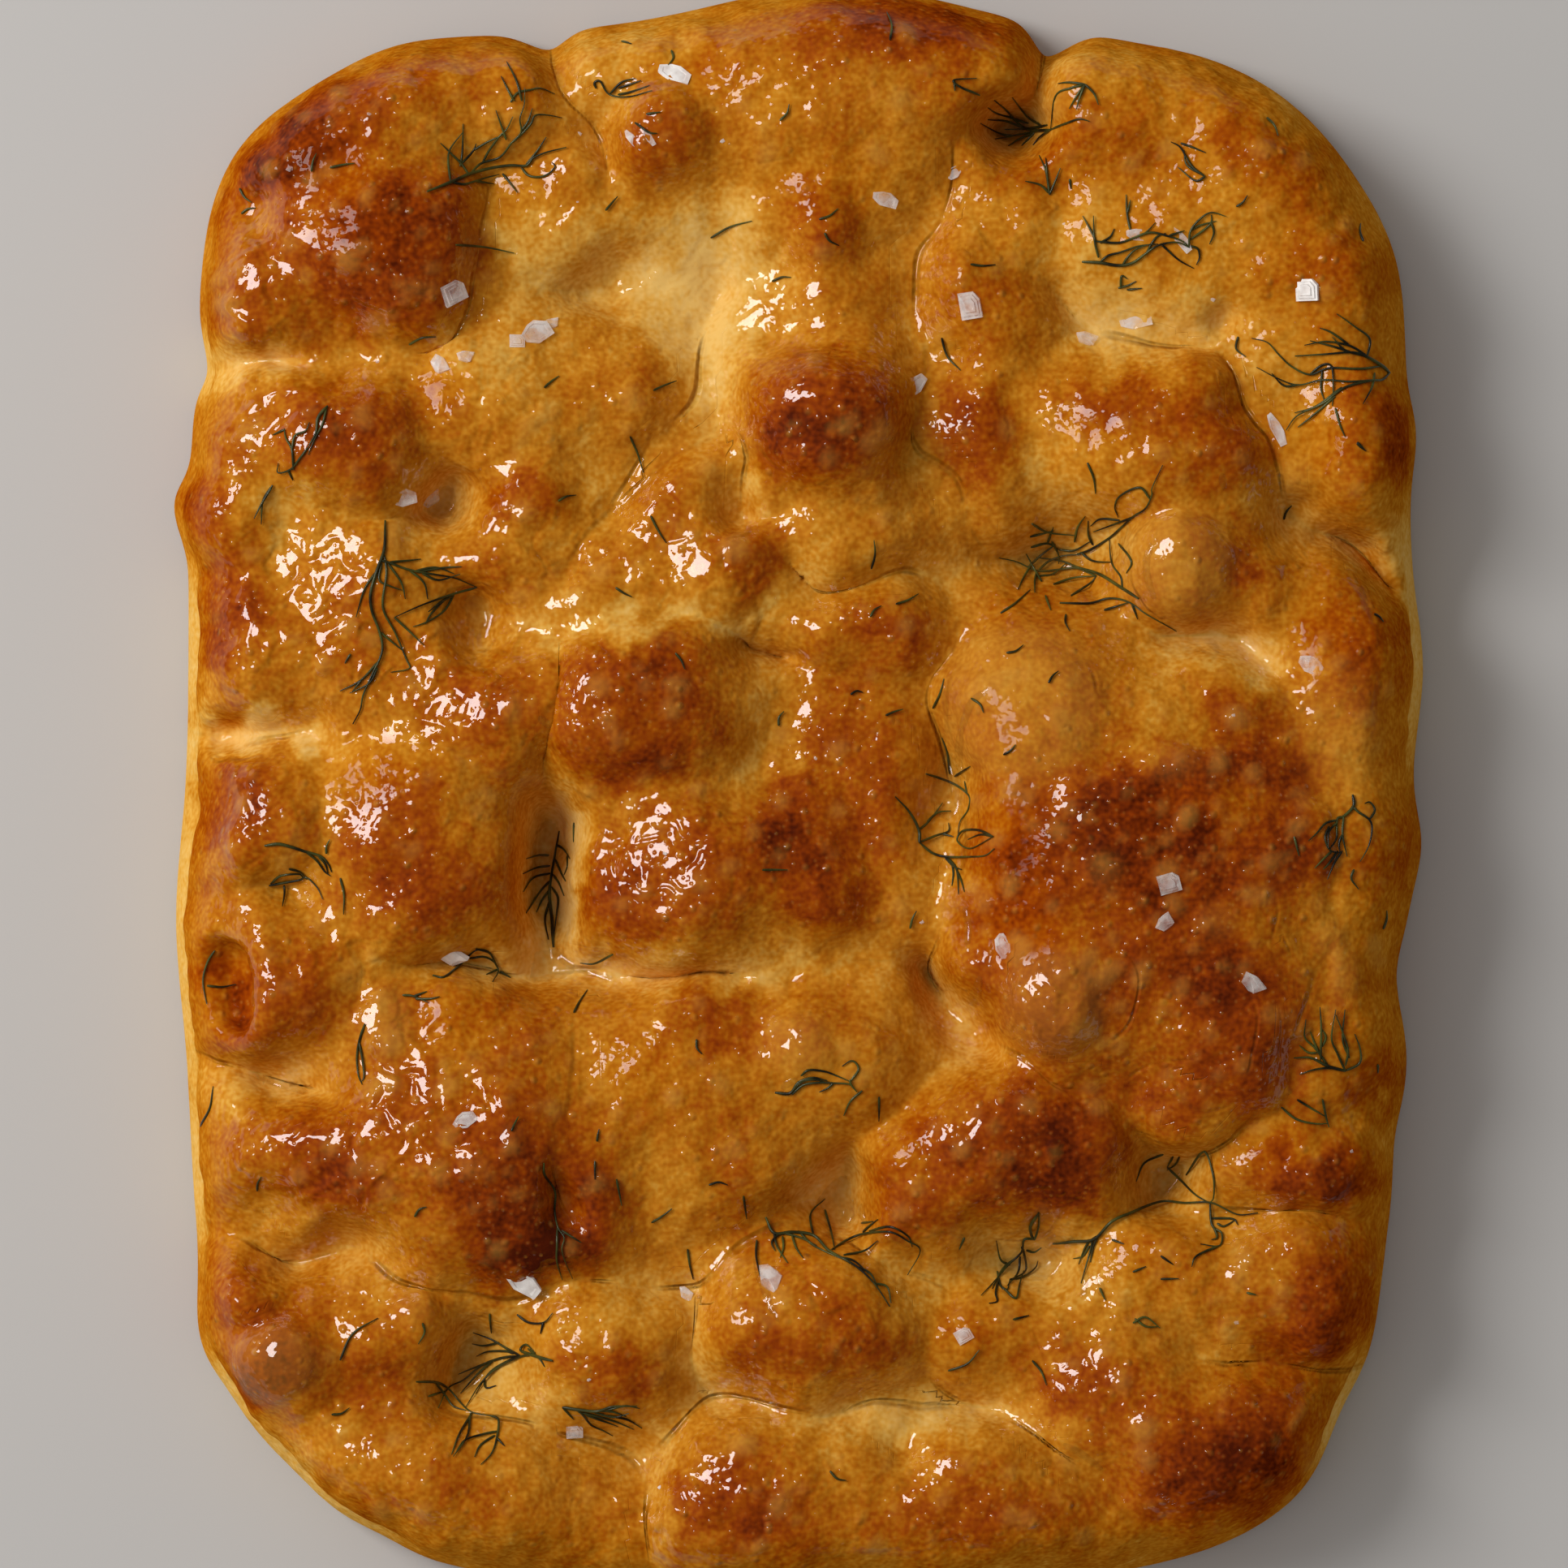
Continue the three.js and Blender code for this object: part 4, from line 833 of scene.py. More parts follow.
# %% Places with less oil: x, y, half length, half width, turn in degrees, how much less
LESS_OIL = [
    (66, 90, 46, 40, 0, 0.62), (-16, 78, 7, 10, 0, 0.85), (-57, 66, 5, 6, 0, 0.8), (33, 10, 9, 16, 0, 0.8),
    (34, -13, 8, 11, 0, 0.9), (36, -23, 8, 4, 0, 0.9), (-71, 4, 13, 6, 0, 0.8), (84, 26, 7, 10, 0, 0.85),
    (-76, 101, 9, 6, 0, 0.8), (-27, 88, 5, 6, 0, 0.7), (4, 98, 16, 7, 0, 0.6), (-18, 116, 6, 5, 0, 0.7),
    (60, -3, 12, 5, 0, 0.6), (-92, -31, 5, 9, 12, 1), (-69, 91, 9, 8, 0, 0.75), (82, 55, 6, 6, 0, 0.9),
    (88, 10, 7, 14, 0, 0.5), (-52, -96, 7, 5, 0, 0.5), (-45, 95, 6, 6, 0, 0.7), (-35, 46, 6, 6, 0, 0.7),
    (-54, -35, 7, 6, 0, 0.7), (-26, -44, 8, 7, 0, 0.6), (15, -55, 6, 6, 0, 0.7), (55, -75, 7, 6, 0, 0.6),
    (76, -56, 7, 5, 0, 0.7), (54, -13, 7, 7, 0, 0.5), (-15, -85, 6, 6, 0, 0.6), (25, -85, 6, 6, 0, 0.6),
    (-15, 65, 6, 6, 0, 0.8), (45, 55, 7, 6, 0, 0.4), (-6, 112, 8, 6, 0, 0.5), (-34, -85, 5, 5, 0, 0.4),
]
print("places with less oil:", len(LESS_OIL))

# %% Wrinkled places, in the same columns, and how much
WRINKLED = [
    (-64, -45, 12, 14, 0, 1), (-76, -58, 12, 9, 0, 1), (-55, 18, 20, 10, -20, 1), (-23, -11, 13, 9, 0, 1),
    (-84, 29, 9, 9, 0, 1), (-72, 36, 8, 8, 0, 1), (-88, -4, 7, 9, 0, 1), (-75, -23, 6, 8, 0, 1),
    (-15, 37, 10, 8, 0, 1), (-44, 40, 12, 9, 0, 0.9), (-70, 22, 10, 8, 0, 1), (-50, 62, 13, 11, 0, 0.8),
    (-80, 42, 8, 8, 0, 1), (-92, 12, 5, 8, 0, 1), (-84, 62, 9, 6, 0, 0.9), (-50, -56, 12, 12, 0, 0.6),
    (-10, 80, 6, 9, 0, 0.6), (41, -32, 6, 6, 0, 0.7), (-74, -62, 8, 5, 0, 0.8), (3, -82, 6, 8, 0, 0.6),
    (24, 78, 5, 9, 0, 0.6), (-64, 84, 8, 9, 0, 0.5), (27, -55, 9, 6, 34, 0.5), (-6, -110, 22, 7, 0, 0.5),
    (44, -84, 6, 10, 0, 0.6), (-87, 85, 7, 13, 0, 1), (-30, 20, 6, 8, 0, 0.6), (4, -85, 8, 8, 0, 0.6),
    (-24, -114, 9, 9, 0, 0.7), (44, -95, 7, 7, 0, 0.5), (-66, 76, 9, 7, 0, 0.7),
]
print("wrinkled places:", len(WRINKLED))

# %% Oil, blisters and wrinkles of every point
STEEP, GENTLE = 0.30, 0.62  # the upward part of the normal where oil starts to hold, and holds
DRY_RIM = (9, 4)  # the oil ends this far from the rim, on the shaded side and on the lit one
DRY_RIM_FADE = 6
LESS_OIL_POWER = 4
WRINKLE_POWER = 3
LIT_SIDE = (-0.9, 0.44)  # the way to the window
LARGE_PALER, LARGE_LIMIT = 0.5, 0.55  # paler by this for each millimetre of a large blister
SMALL_PALER = 2.4

upward = normals[:, 2]  # 1 where the crust lies level, 0 on the upright side
lit = np.clip(0.5 + (normals[:, :2] @ LIT_SIDE) / 0.8, 0, 1)
dry = DRY_RIM[0] + (DRY_RIM[1] - DRY_RIM[0]) * lit
within = np.clip((rim_distance(loaf_x, loaf_y) - dry) / DRY_RIM_FADE, 0, 1)
spread_x, spread_y = SPREAD * loaf_x, SPREAD * loaf_y
less_oil = np.clip(soft_ovals(spread_x, spread_y, LESS_OIL, LESS_OIL_POWER), 0, 1)
oiled = np.clip((upward - STEEP) / (GENTLE - STEEP), 0, 1) * within * (1 - less_oil) * ~under
blistered = np.clip(LARGE_PALER * blister_lift(spread_x, spread_y, BLISTERS), 0, LARGE_LIMIT)
blistered += SMALL_PALER * blister_lift(spread_x, spread_y, small)
wrinkled = soft_ovals(spread_x, spread_y, WRINKLED, WRINKLE_POWER)
for name, values in {"oiled": oiled, "blistered": blistered, "wrinkled": wrinkled}.items():
    set_attribute(loaf, name, np.clip(values, 0, 1))
print("share of the points that are wet:", (oiled > 0.5).mean().round(2))

# %% [markdown]
# ## Materials
#
# A material here is built from nodes. The helpers below add a node, set its values and join it, so
# that each material reads as a short list of what feeds what.

# %% Helpers for materials
def new_material(name):
    material = bpy.data.materials.new(name)
    material.use_nodes = True
    tree = material.node_tree
    return material, tree, tree.nodes["Principled BSDF"]


def set_values(tree, node, values):
    """Give each input its number or colour, or join it to the output that feeds it."""
    for name, value in values.items():
        if isinstance(value, bpy.types.NodeSocket):
            tree.links.new(value, node.inputs[name])
        else:
            node.inputs[name].default_value = value


def add_node(tree, kind, values=None, **settings):
    node = tree.nodes.new(kind)
    for setting, value in settings.items():
        setattr(node, setting, value)
    set_values(tree, node, values or {})
    return node


def maths(tree, operation, first, second, third=0.0, clamp=False):
    node = add_node(tree, "ShaderNodeMath", {0: first, 1: second, 2: third}, operation=operation)
    node.use_clamp = clamp
    return node.outputs[0]


def stored(tree, name):
    """A number that every point of the mesh carries."""
    return add_node(tree, "ShaderNodeAttribute", attribute_name=name).outputs["Fac"]


def noise(tree, scale, detail=2.0, roughness=0.5, distortion=0.0):
    """Soft random patches that stay with the object, `scale` of them to a metre."""
    place = add_node(tree, "ShaderNodeTexCoord").outputs["Object"]
    values = {"Vector": place, "Scale": scale, "Detail": detail, "Roughness": roughness,
              "Distortion": distortion}
    return add_node(tree, "ShaderNodeTexNoise", values).outputs["Fac"]


def bump(tree, height, distance, under=None):
    """A relief `distance` millimetres high, on top of another one."""
    values = {"Height": height, "Distance": distance * MM}
    if under:
        values["Normal"] = under
    return add_node(tree, "ShaderNodeBump", values).outputs[0]


def ramp(tree, value, tones):
    """Colours for a number from 0 to 1. Each tone is a position and a colour."""
    node = add_node(tree, "ShaderNodeValToRGB", {"Fac": value})
    stops = node.color_ramp.elements
    while len(stops) < len(tones):
        stops.new(0.5)
    for stop, (position, colour) in zip(stops, tones):
        stop.position = position
        stop.color = (*colour, 1)
    return node.outputs["Color"]


def blend(tree, share, first, second):
    node = add_node(tree, "ShaderNodeMix", {"Factor": share, "A": first, "B": (*second, 1)},
                    data_type="RGBA")
    return node.outputs["Result"]


# %% [markdown]
# ## The crust's finish
#
# Baked crust runs from cream over gold and amber to a red brown. A colour ramp holds those tones
# from pale to dark, and the browning number chooses between them. The number is first moved up and
# down by three sizes of patches, because no crust is baked evenly.

# %% Mottling: patches to a metre, detail, roughness, how much they move the browning
MOTTLING = ((170, 3.0, 0.55, 0.16), (480, 2.0, 0.6, 0.24), (1300, 0.0, 0.55, 0.26))

crust, tree, crust_shader = new_material("baked_crust")
# the browning number also carries the painted shade and light of a few spots
baked = stored(tree, "browning")
tone = baked
for scale, detail, roughness, amount in MOTTLING:
    moved = maths(tree, "MULTIPLY_ADD", noise(tree, scale, detail, roughness), amount, -amount / 2)
    tone = maths(tree, "ADD", tone, moved)
print("sizes of mottling in mm:", [round(1 / (scale * MM), 1) for scale, *_ in MOTTLING])

# %% [markdown]
# Under the oil the skin is full of tiny blisters, the more the harder it baked. A cell pattern puts
# one centre in every cell, and each becomes a small round swelling or none, by its own random
# number. The colour is made darker towards the edges of the cells, between them, and their tops stay paler.

# %% Pimples: how many to a metre, how wide, share of the cells that have one
LARGE_PIMPLES = (360, 0.32, 0.6)
FINE_PIMPLES = (820, 0.36, 0.7)
FIRST_PIMPLES, ALL_PIMPLES = 0.30, 0.62  # browning where they begin to grow, and are full
SOFT_SHARE = 0.25  # share of their height on the palest crust
GAP_LEVEL, GAP_DARKER = 0.45, 0.16

hard_baked = add_node(tree, "ShaderNodeMapRange",
                      {"Value": baked, "From Min": FIRST_PIMPLES, "From Max": ALL_PIMPLES,
                       "To Min": SOFT_SHARE}).outputs[0]


def pimples(scale, radius, share_of_cells):
    """Small round swellings, from 0 to 1 at the top of each, and how far it is to a centre."""
    place = add_node(tree, "ShaderNodeTexCoord").outputs["Object"]
    pattern = add_node(tree, "ShaderNodeTexVoronoi", {"Vector": place, "Scale": scale})
    swollen = add_node(tree, "ShaderNodeMapRange",
                       {"Value": pattern.outputs["Distance"], "From Max": radius, "To Min": 1.0,
                        "To Max": 0.0}, interpolation_type="SMOOTHSTEP").outputs[0]
    random = add_node(tree, "ShaderNodeSeparateColor", {"Color": pattern.outputs["Color"]})
    there = maths(tree, "LESS_THAN", random.outputs["Red"], share_of_cells)
    height = maths(tree, "MULTIPLY_ADD", random.outputs["Green"], 0.6, 0.4)
    top = maths(tree, "MULTIPLY", maths(tree, "MULTIPLY", swollen, there), height)
    return maths(tree, "MULTIPLY", top, hard_baked), pattern.outputs["Distance"]


large, large_cells = pimples(*LARGE_PIMPLES)
fine, fine_cells = pimples(*FINE_PIMPLES)
gaps = maths(tree, "MULTIPLY_ADD", fine_cells, 0.7, maths(tree, "MULTIPLY", large_cells, 0.5))
gaps = maths(tree, "MULTIPLY", maths(tree, "SUBTRACT", gaps, GAP_LEVEL), hard_baked)
tone = maths(tree, "MULTIPLY_ADD", gaps, GAP_DARKER, tone, clamp=True)
print("sizes of pimples in mm:", round(1 / (LARGE_PIMPLES[0] * MM), 1), round(1 / (FINE_PIMPLES[0] * MM), 1))

# %% Tones of the crust, from pale to dark
CRUST_TONES = [
    (0.00, (0.80, 0.50, 0.140)), (0.18, (0.73, 0.38, 0.060)), (0.34, (0.59, 0.23, 0.014)),
    (0.48, (0.47, 0.145, 0.0045)), (0.62, (0.37, 0.077, 0.0014)), (0.76, (0.275, 0.041, 0.0011)),
    (0.88, (0.17, 0.022, 0.0012)), (1.00, (0.08, 0.009, 0.0008)),
]
BLISTER_TONE = (0.55, 0.265, 0.045)
LARGE_TOP, FINE_TOP, BLISTER_TOP = 0.40, 0.26, 0.38  # how much of that tone the tops get

paler = maths(tree, "MULTIPLY_ADD", large, LARGE_TOP, maths(tree, "MULTIPLY", fine, FINE_TOP))
paler = maths(tree, "MULTIPLY_ADD", stored(tree, "blistered"), BLISTER_TOP, paler, clamp=True)
crust_colour = blend(tree, paler, ramp(tree, tone, CRUST_TONES), BLISTER_TONE)
print("tones:", len(CRUST_TONES))

# %% Lines of creases and folds, darkened with painted shade
# the dark tone drawn along creases and folds is painted shade, where a narrow crease lies in shade
LINE_SHADE_TONE = (0.13, 0.060, 0.008)
CREASE_HALF_WIDTH, FOLD_HALF_WIDTH = 0.9, 0.6
CREASE_SHADE, FOLD_SHADE = 0.24, 0.16
FOLD_DEPTH = 0.55  # against a crease


def line(kind, half_width):
    """1 along a line, and 0 from its half width on."""
    away = maths(tree, "ABSOLUTE", stored(tree, kind + "_offset"), 0.0)
    drawn = add_node(tree, "ShaderNodeMapRange", {"Value": away, "From Max": half_width, "To Min": 1.0,
                                                  "To Max": 0.0}, interpolation_type="SMOOTHSTEP")
    return maths(tree, "MULTIPLY", drawn.outputs[0], stored(tree, kind + "_depth"))


crease, fold = line("crease", CREASE_HALF_WIDTH), line("fold", FOLD_HALF_WIDTH)
shade = maths(tree, "MULTIPLY_ADD", crease, CREASE_SHADE,
              maths(tree, "MULTIPLY", fold, FOLD_SHADE), clamp=True)
sunk = maths(tree, "MULTIPLY_ADD", crease, -1.0, maths(tree, "MULTIPLY", fold, -FOLD_DEPTH))
# painted shade along the creases and folds
crust_colour = blend(tree, shade, crust_colour, LINE_SHADE_TONE)
print("half widths of the lines in mm:", CREASE_HALF_WIDTH, FOLD_HALF_WIDTH)

# %% [markdown]
# The finest relief is drawn by bumps, which turn the light without moving the mesh: first the lines,
# then waves, wrinkles and pimples, each on top of the one before. Oil lies over the crust as a clear
# coat with a relief of its own, because it fills the finest gaps. Where the skin is wrinkled, the
# waves grow and the fine bumps get calmer. Light that goes into the crumb hardly shows on so brown
# a crust, so it is left out, which makes the picture a fifth quicker to work out.

# %% Relief and shine of the crust
WRINKLED_WAVES, PLAIN_WAVES = 0.8, 0.3
CALMER = 0.7  # share of the fine bumps that wrinkled skin loses
DRY_ROUGHNESS, WET_ROUGHNESS = 0.95, 0.55

wrinkles = stored(tree, "wrinkled")
calm = maths(tree, "MULTIPLY_ADD", wrinkles, -CALMER, 1.0)
waves = maths(tree, "MULTIPLY", noise(tree, 210, 1.0, 0.5, 0.8),
              maths(tree, "MULTIPLY_ADD", wrinkles, WRINKLED_WAVES, PLAIN_WAVES))
relief = bump(tree, sunk, 0.6)
relief = bump(tree, waves, 1.2, relief)
relief = bump(tree, maths(tree, "MULTIPLY", noise(tree, 300, 2.0, 0.55), calm), 0.45, relief)
relief = bump(tree, large, 0.36, relief)
wet = bump(tree, maths(tree, "MULTIPLY", noise(tree, 360, 1.5), calm), 0.36, relief)
wet = bump(tree, fine, 0.18, wet)
oil_coat = stored(tree, "oiled")
rough = add_node(tree, "ShaderNodeMapRange", {"Value": oil_coat, "To Min": DRY_ROUGHNESS,
                                              "To Max": WET_ROUGHNESS}).outputs[0]
set_values(tree, crust_shader, {
    "Base Color": crust_colour, "Roughness": rough, "Normal": relief, "Specular IOR Level": 0.0,
    "Coat Weight": oil_coat, "Coat Roughness": 0.03, "Coat IOR": 1.6, "Coat Normal": wet,
})
print("nodes in the crust's material:", len(tree.nodes))

# %% The finished loaf
loaf.data.materials.append(crust)
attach(loaf, "root")
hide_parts("focaccia")
print("loaf faces:", len(loaf.data.polygons))

# %% [markdown]
# ## Laying toppings on the crust
#
# Dill, salt and oil lie on the crust, so each needs to know how high the crust is under it. A ray
# sent straight down on the finished mesh gives the height and the slope there. A thread of dill is
# a little stiff and spans the narrow dips instead of following them, so its points are lifted
# towards a straight line between their neighbours, and never below the crust.

# %% The crust under a place
ground = BVHTree.FromObject(loaf, bpy.context.evaluated_depsgraph_get())
ABOVE = 0.1  # rays start this high, in metres


def crust_at(x, y):
    """Point and normal of the crust at a place of the tables, in metres."""
    start = Vector(to_frame(x / SPREAD, y / SPREAD, 0)) + Vector((0, 0, ABOVE))
    point, normal, _, _ = ground.ray_cast(start, Vector((0, 0, -1)))
    return (point, normal) if point else (start, Vector((0, 0, 1)))


def lay(points, lift, stiffness):
    """The rounded line through some places, laid on the crust at a height above it."""
    on_crust = [crust_at(x, y)[0] for x, y in rounded_line(points)]
    floor_z = np.array([p.z for p in on_crust]) + lift * MM
    z = floor_z.copy()
    for _ in range(stiffness):
        z[1:-1] = np.maximum(floor_z[1:-1], (z[:-2] + z[2:]) / 2)
    return [(p.x, p.y, height) for p, height in zip(on_crust, z)]


print("crust under the middle in mm:", round(crust_at(0, 0)[0].z / MM, 1))

# %% [markdown]
# ## Dill
#
# Dill leaves are feathers of threads no thicker than a stout hair, wet with oil and dark from the
# oven. Each thread is a curve with a round section that thins towards its tip. A curve is quick to
# lay and keeps its thickness on every bend, which a stretched cylinder doesn't. When all threads of
# a sprig lie well, the curve is converted, so that the finished piece is a plain mesh. The places
# are written down thread by thread, because no rule draws a leaf as lively as a real one.

# %% The sprigs: for each, its threads, and each thread as the places it passes: x, y, x, y
SPRIGS = {1: [
    (-59, 95.3, -55.4, 97, -52.5, 98.5, -49.2, 99.5, -46.2, 100.1, -43.7, 100.1, -42.5, 101.2, -40.4, 102.2,
    -37.2, 102.9), (-43.7, 100.1, -42, 102.2, -40.4, 104.5), (-44.4, 99.7, -43.3, 98.5, -41.6, 98.2,
    -40, 98.7, -39.1, 99.7, -39.5, 100.5), (-55.4, 97, -53.4, 96.6, -51.7, 97.4, -50, 98, -47.9, 98.7),
    (-51.7, 97.4, -48.8, 97.2), (-47.4, 98.8, -46.3, 97.4, -45, 95.7), (-55.4, 97, -55.9, 100.5,
    -55.5, 102.6, -53.6, 105), (-54, 99.7, -53.6, 102.2, -53.5, 106.4), (-52.7, 98.5, -53.8, 100.1,
    -55.5, 101.8, -57.1, 103.3), (-53.8, 100.1, -52.1, 102.2, -51.5, 103.3), (-52.5, 98.5, -50.6, 100.3,
    -47.9, 101.4, -46, 103.5, -44.4, 105.2, -44.4, 107.3, -43.9, 109.4, -43.7, 112.1), (-50.6, 100.3,
    -49.6, 102.2, -47.9, 104.3, -46.7, 105.6, -45.6, 107.5), (-52.1, 102.2, -49.6, 103.5, -47.1, 104.7),
    (-46.7, 103.9, -47.5, 106, -48.3, 108.5), (-44.2, 110, -45, 113.1, -46.7, 116.5), (-45.4, 110,
    -46.2, 111.5, -47.5, 114), (-46, 109.8, -44.8, 111.2, -42.9, 111.8, -41.2, 112.2, -39.1, 111.5),
    (-44.4, 105.2, -43.3, 106.8, -42.5, 108.9), (-46, 103.3, -44.4, 104.7, -42.9, 106.4, -42.1, 107.7,
    -40, 108, -37.9, 107.6),
], 2: [
    (40, 106.1, 38, 106.5, 35.6, 107.6, 33.5, 109.3, 31, 110.5), (40, 106.1, 37.7, 106.3, 34.3, 106.1,
    31.4, 105.3), (38.7, 107.2, 36.8, 108.6, 35.2, 109.9, 33.9, 111.1), (36.8, 108, 33.9, 108.8, 31.4, 109,
    30, 109.5), (35.6, 107.6, 33, 108.4, 30.1, 108), (37.7, 106.3, 35.6, 105.7, 33.5, 104.2), (34.3, 106.1,
    32.2, 106.3, 28.9, 107.2), (37.7, 106.3, 36.4, 105, 35.6, 104.2), (40, 106.1, 38.5, 105.3, 37.3, 104),
    (39.5, 107, 36.5, 107.2, 33, 107.2), (40, 106.1, 42.3, 106.7, 44.4, 107.2, 45.9, 106.7), (45.2, 112.6,
    42.7, 113, 41, 113), (45.2, 112.6, 44, 110.9, 42.7, 108.8), (45.2, 112.6, 44.4, 110.5, 43.8, 108.6),
    (45.2, 112.6, 46.5, 111.1, 47.3, 109.3), (45.2, 112.6, 43, 112, 40.6, 110.9, 40, 106.1), (28.5, 110.9,
    25.5, 112, 24.4, 113.2, 28, 113.5), (24.4, 113.2, 24.5, 111.4),
], 3: [
    (44.8, 84.6, 47.6, 84.5, 50.5, 83.9, 52.6, 84.4, 54.7, 85.6, 56.8, 87.1, 59.8, 87.5, 61.9, 86.7),
    (47.6, 84.5, 48.9, 85.6, 51, 86.1, 53.9, 86.9, 56.8, 87.3), (47.4, 85.2, 46.8, 88.2, 46.6, 91.9),
    (47, 87.7, 46.1, 89.8, 44.9, 91.9), (47.6, 87.5, 49.3, 88.6, 49.9, 89.8), (46.8, 87.8, 50.5, 87.5,
    52.6, 88.2, 54.7, 89, 56.4, 90.7), (52.4, 89.6, 52, 92.4, 51.8, 95.3), (52, 92.4, 52.5, 94.4),
    (52.6, 88.2, 55.6, 89, 58.5, 88.6, 60.6, 87.7, 61.9, 86.7), (58.5, 88.6, 61, 89.4), (55, 86, 56.5, 88.4,
    58, 89), (61.7, 86.9, 61.9, 89.4, 63.5, 91.5, 65.2, 92.3, 67.5, 91.6), (61.9, 88, 64.4, 89.8,
    65.2, 90.7, 65.2, 91.9), (65.2, 90.7, 65.6, 89, 65, 87.3), (61.9, 89.4, 63.6, 90.2, 66, 90.9), (62, 87,
    63.1, 86.5, 63.3, 85.2, 62.9, 84), (57.4, 87.2, 58.1, 86.7, 60.2, 84.8, 62.5, 83.5), (51.2, 84,
    52, 85.2, 53.5, 86.5, 55.6, 87.3),
], 4: [
    (94.1, 67.2, 92.6, 68.2, 90.2, 69.6, 87.8, 70.1, 83.5, 69.9, 78.6, 69.6), (90.2, 69.6, 87.3, 71.3,
    83.5, 71.8, 80.1, 71.3), (87.3, 71.3, 84.4, 73.3, 82.5, 74), (87.8, 70.1, 84.4, 71.1, 81, 72),
    (90, 69.6, 86.5, 70.6, 84.5, 72.6), (90.2, 69.6, 90.7, 72.3, 88.3, 74.2, 85.1, 76.2), (92.6, 68.2,
    90, 67.6, 87.8, 67.5, 83.9, 67.7, 81, 66.7, 78.1, 67.9, 76.2, 69.9, 74.3, 71.8, 71.8, 72.5),
    (94.1, 67.2, 92.6, 66, 91.2, 65.8, 87.3, 65.5, 83, 65.8, 79.1, 65, 75.7, 66.2, 72.6, 67.9), (81, 66.7,
    83, 68.3, 84.4, 67.7, 84.7, 64.1, 84.4, 61.6), (83, 67.4, 82.7, 64.5, 83.2, 62.6), (79.4, 65.1,
    77, 64.9, 75, 66.9), (91.2, 65.8, 86.4, 64.5, 83, 62.1, 79.1, 60.2, 77.2, 57.8), (84.9, 63.1,
    81.5, 60.2, 79.1, 58.3), (86, 64.6, 82, 61.6, 78.6, 60.6), (91.4, 67, 90.7, 64.5, 89.3, 61.9),
    (84.9, 61.2, 85.6, 58.7, 86.4, 56.6),
], 5: [
    (-74.8, 61.4, -76.3, 59.4, -76.5, 57.1, -77.8, 54.8), (-74.9, 61.2, -75.5, 58.4, -76.7, 56.2,
    -77.8, 53.6), (-77.8, 54.8, -79, 53.2, -80.5, 51.5, -82.7, 50.9, -82.7, 52.4), (-80.2, 51.3,
    -80.4, 54.4, -81.5, 56.3, -81.7, 57.9), (-80.4, 54.4, -80, 56.7, -78.2, 57.5, -77.6, 58.8),
    (-81.7, 57.7, -83.6, 56.9), (-81.1, 51.3, -80.4, 49.7),
], 6: [
    (-65.9, 43.4, -66, 39, -66.9, 35.5, -68.1, 32, -67.8, 29.1, -66.6, 25.7, -66.3, 22.7, -67.8, 19.3,
    -69.2, 15.8, -69.8, 13.4, -71, 11.1), (-66.9, 35.5, -69, 32.6, -70.4, 28), (-66, 38.4, -65.5, 35,
    -66, 29.7, -64.3, 25.7, -62.6, 21.6, -62, 19.8, -64.9, 19.3), (-66.3, 36.5, -66.6, 33.8, -65.2, 32.9,
    -63.1, 32.3), (-66.5, 37, -65.2, 36.7, -62, 35.5, -58.5, 35, -55, 34.4, -51.5, 32.9), (-65.2, 36.7,
    -62.6, 37.1, -60.2, 37.3), (-62, 35.5, -59.7, 33.5, -59.1, 30.9), (-60.4, 35.3, -56.7, 35.8,
    -53.8, 36.1), (-61, 35.4, -58, 36, -55, 35), (-65.2, 36.4, -63.2, 33.5, -62.6, 30.9), (-60, 35,
    -57.5, 34, -54, 34.9), (-51.5, 32.9, -55, 32, -59.7, 30, -64.3, 28), (-55, 32, -56.7, 29.1, -59.1, 27.4,
    -61.4, 26.5), (-56, 31.5, -58.6, 28.6, -59.4, 27), (-55.3, 31.5, -57, 30.5, -59, 28.9), (-64.3, 28,
    -62, 25.8, -59.7, 23.6), (-66.6, 25.7, -65, 24.4, -63, 22.7), (-66.9, 21, -69.5, 18.1, -73, 16.3),
    (-69.5, 18.1, -71, 16.2), (-67, 20, -68.2, 17.5, -71.4, 16),
], 7: [
    (53.7, 31, 51.3, 32.7, 47.9, 35.1, 44.5, 36.5, 42.1, 37.3, 38, 38), (51.3, 32.7, 51, 34.6, 49.8, 37,
    49.4, 40.9), (44.5, 38.5, 46.4, 39, 49.4, 40.9, 51.3, 42.4, 53, 44, 54.7, 45.3, 55.6, 47.2, 55.6, 48.6,
    57.3, 52), (55.4, 46.7, 53.7, 48.6, 50.8, 47.4, 50.1, 45.7, 50.6, 44), (53, 44, 50.8, 43.3, 46.9, 41.9),
    (50.8, 43.6, 48, 43.8, 46.4, 42.8), (47.4, 34.9, 44.5, 36.3, 41.6, 36.1, 38.2, 35.8, 34.8, 37.3,
    31.9, 37.8), (38.7, 34.1, 37.7, 36.1, 36.3, 38.5), (37.3, 37, 36, 34.8, 34.8, 32.7), (38, 35.6,
    37.6, 34, 37.5, 32.2), (37, 43.1, 39.7, 41.9, 44, 41.4), (36.8, 41.1, 40.6, 42.1), (37, 39.5,
    39.7, 40.2, 41.6, 39.2), (39.7, 40.2, 40.5, 42.6), (44, 40.4, 44.5, 42.6, 45.5, 44.3), (46.9, 39.9,
    46.2, 41.6, 46, 43.6), (50.8, 39.9, 52.5, 36.8, 51.8, 35.1), (40.6, 33.6, 44, 34.6, 47.4, 34.9),
    (43.3, 31.7, 46.4, 33.6, 47.4, 34.9), (41.4, 30.5, 46, 30.5, 49.4, 31.2, 52.3, 30.5, 55.2, 28.3,
    60, 25.9), (48.4, 29.3, 50.4, 29.8, 52.3, 30.5), (52.7, 30.3, 53.7, 27.8), (31.9, 28.8, 34.4, 30.5,
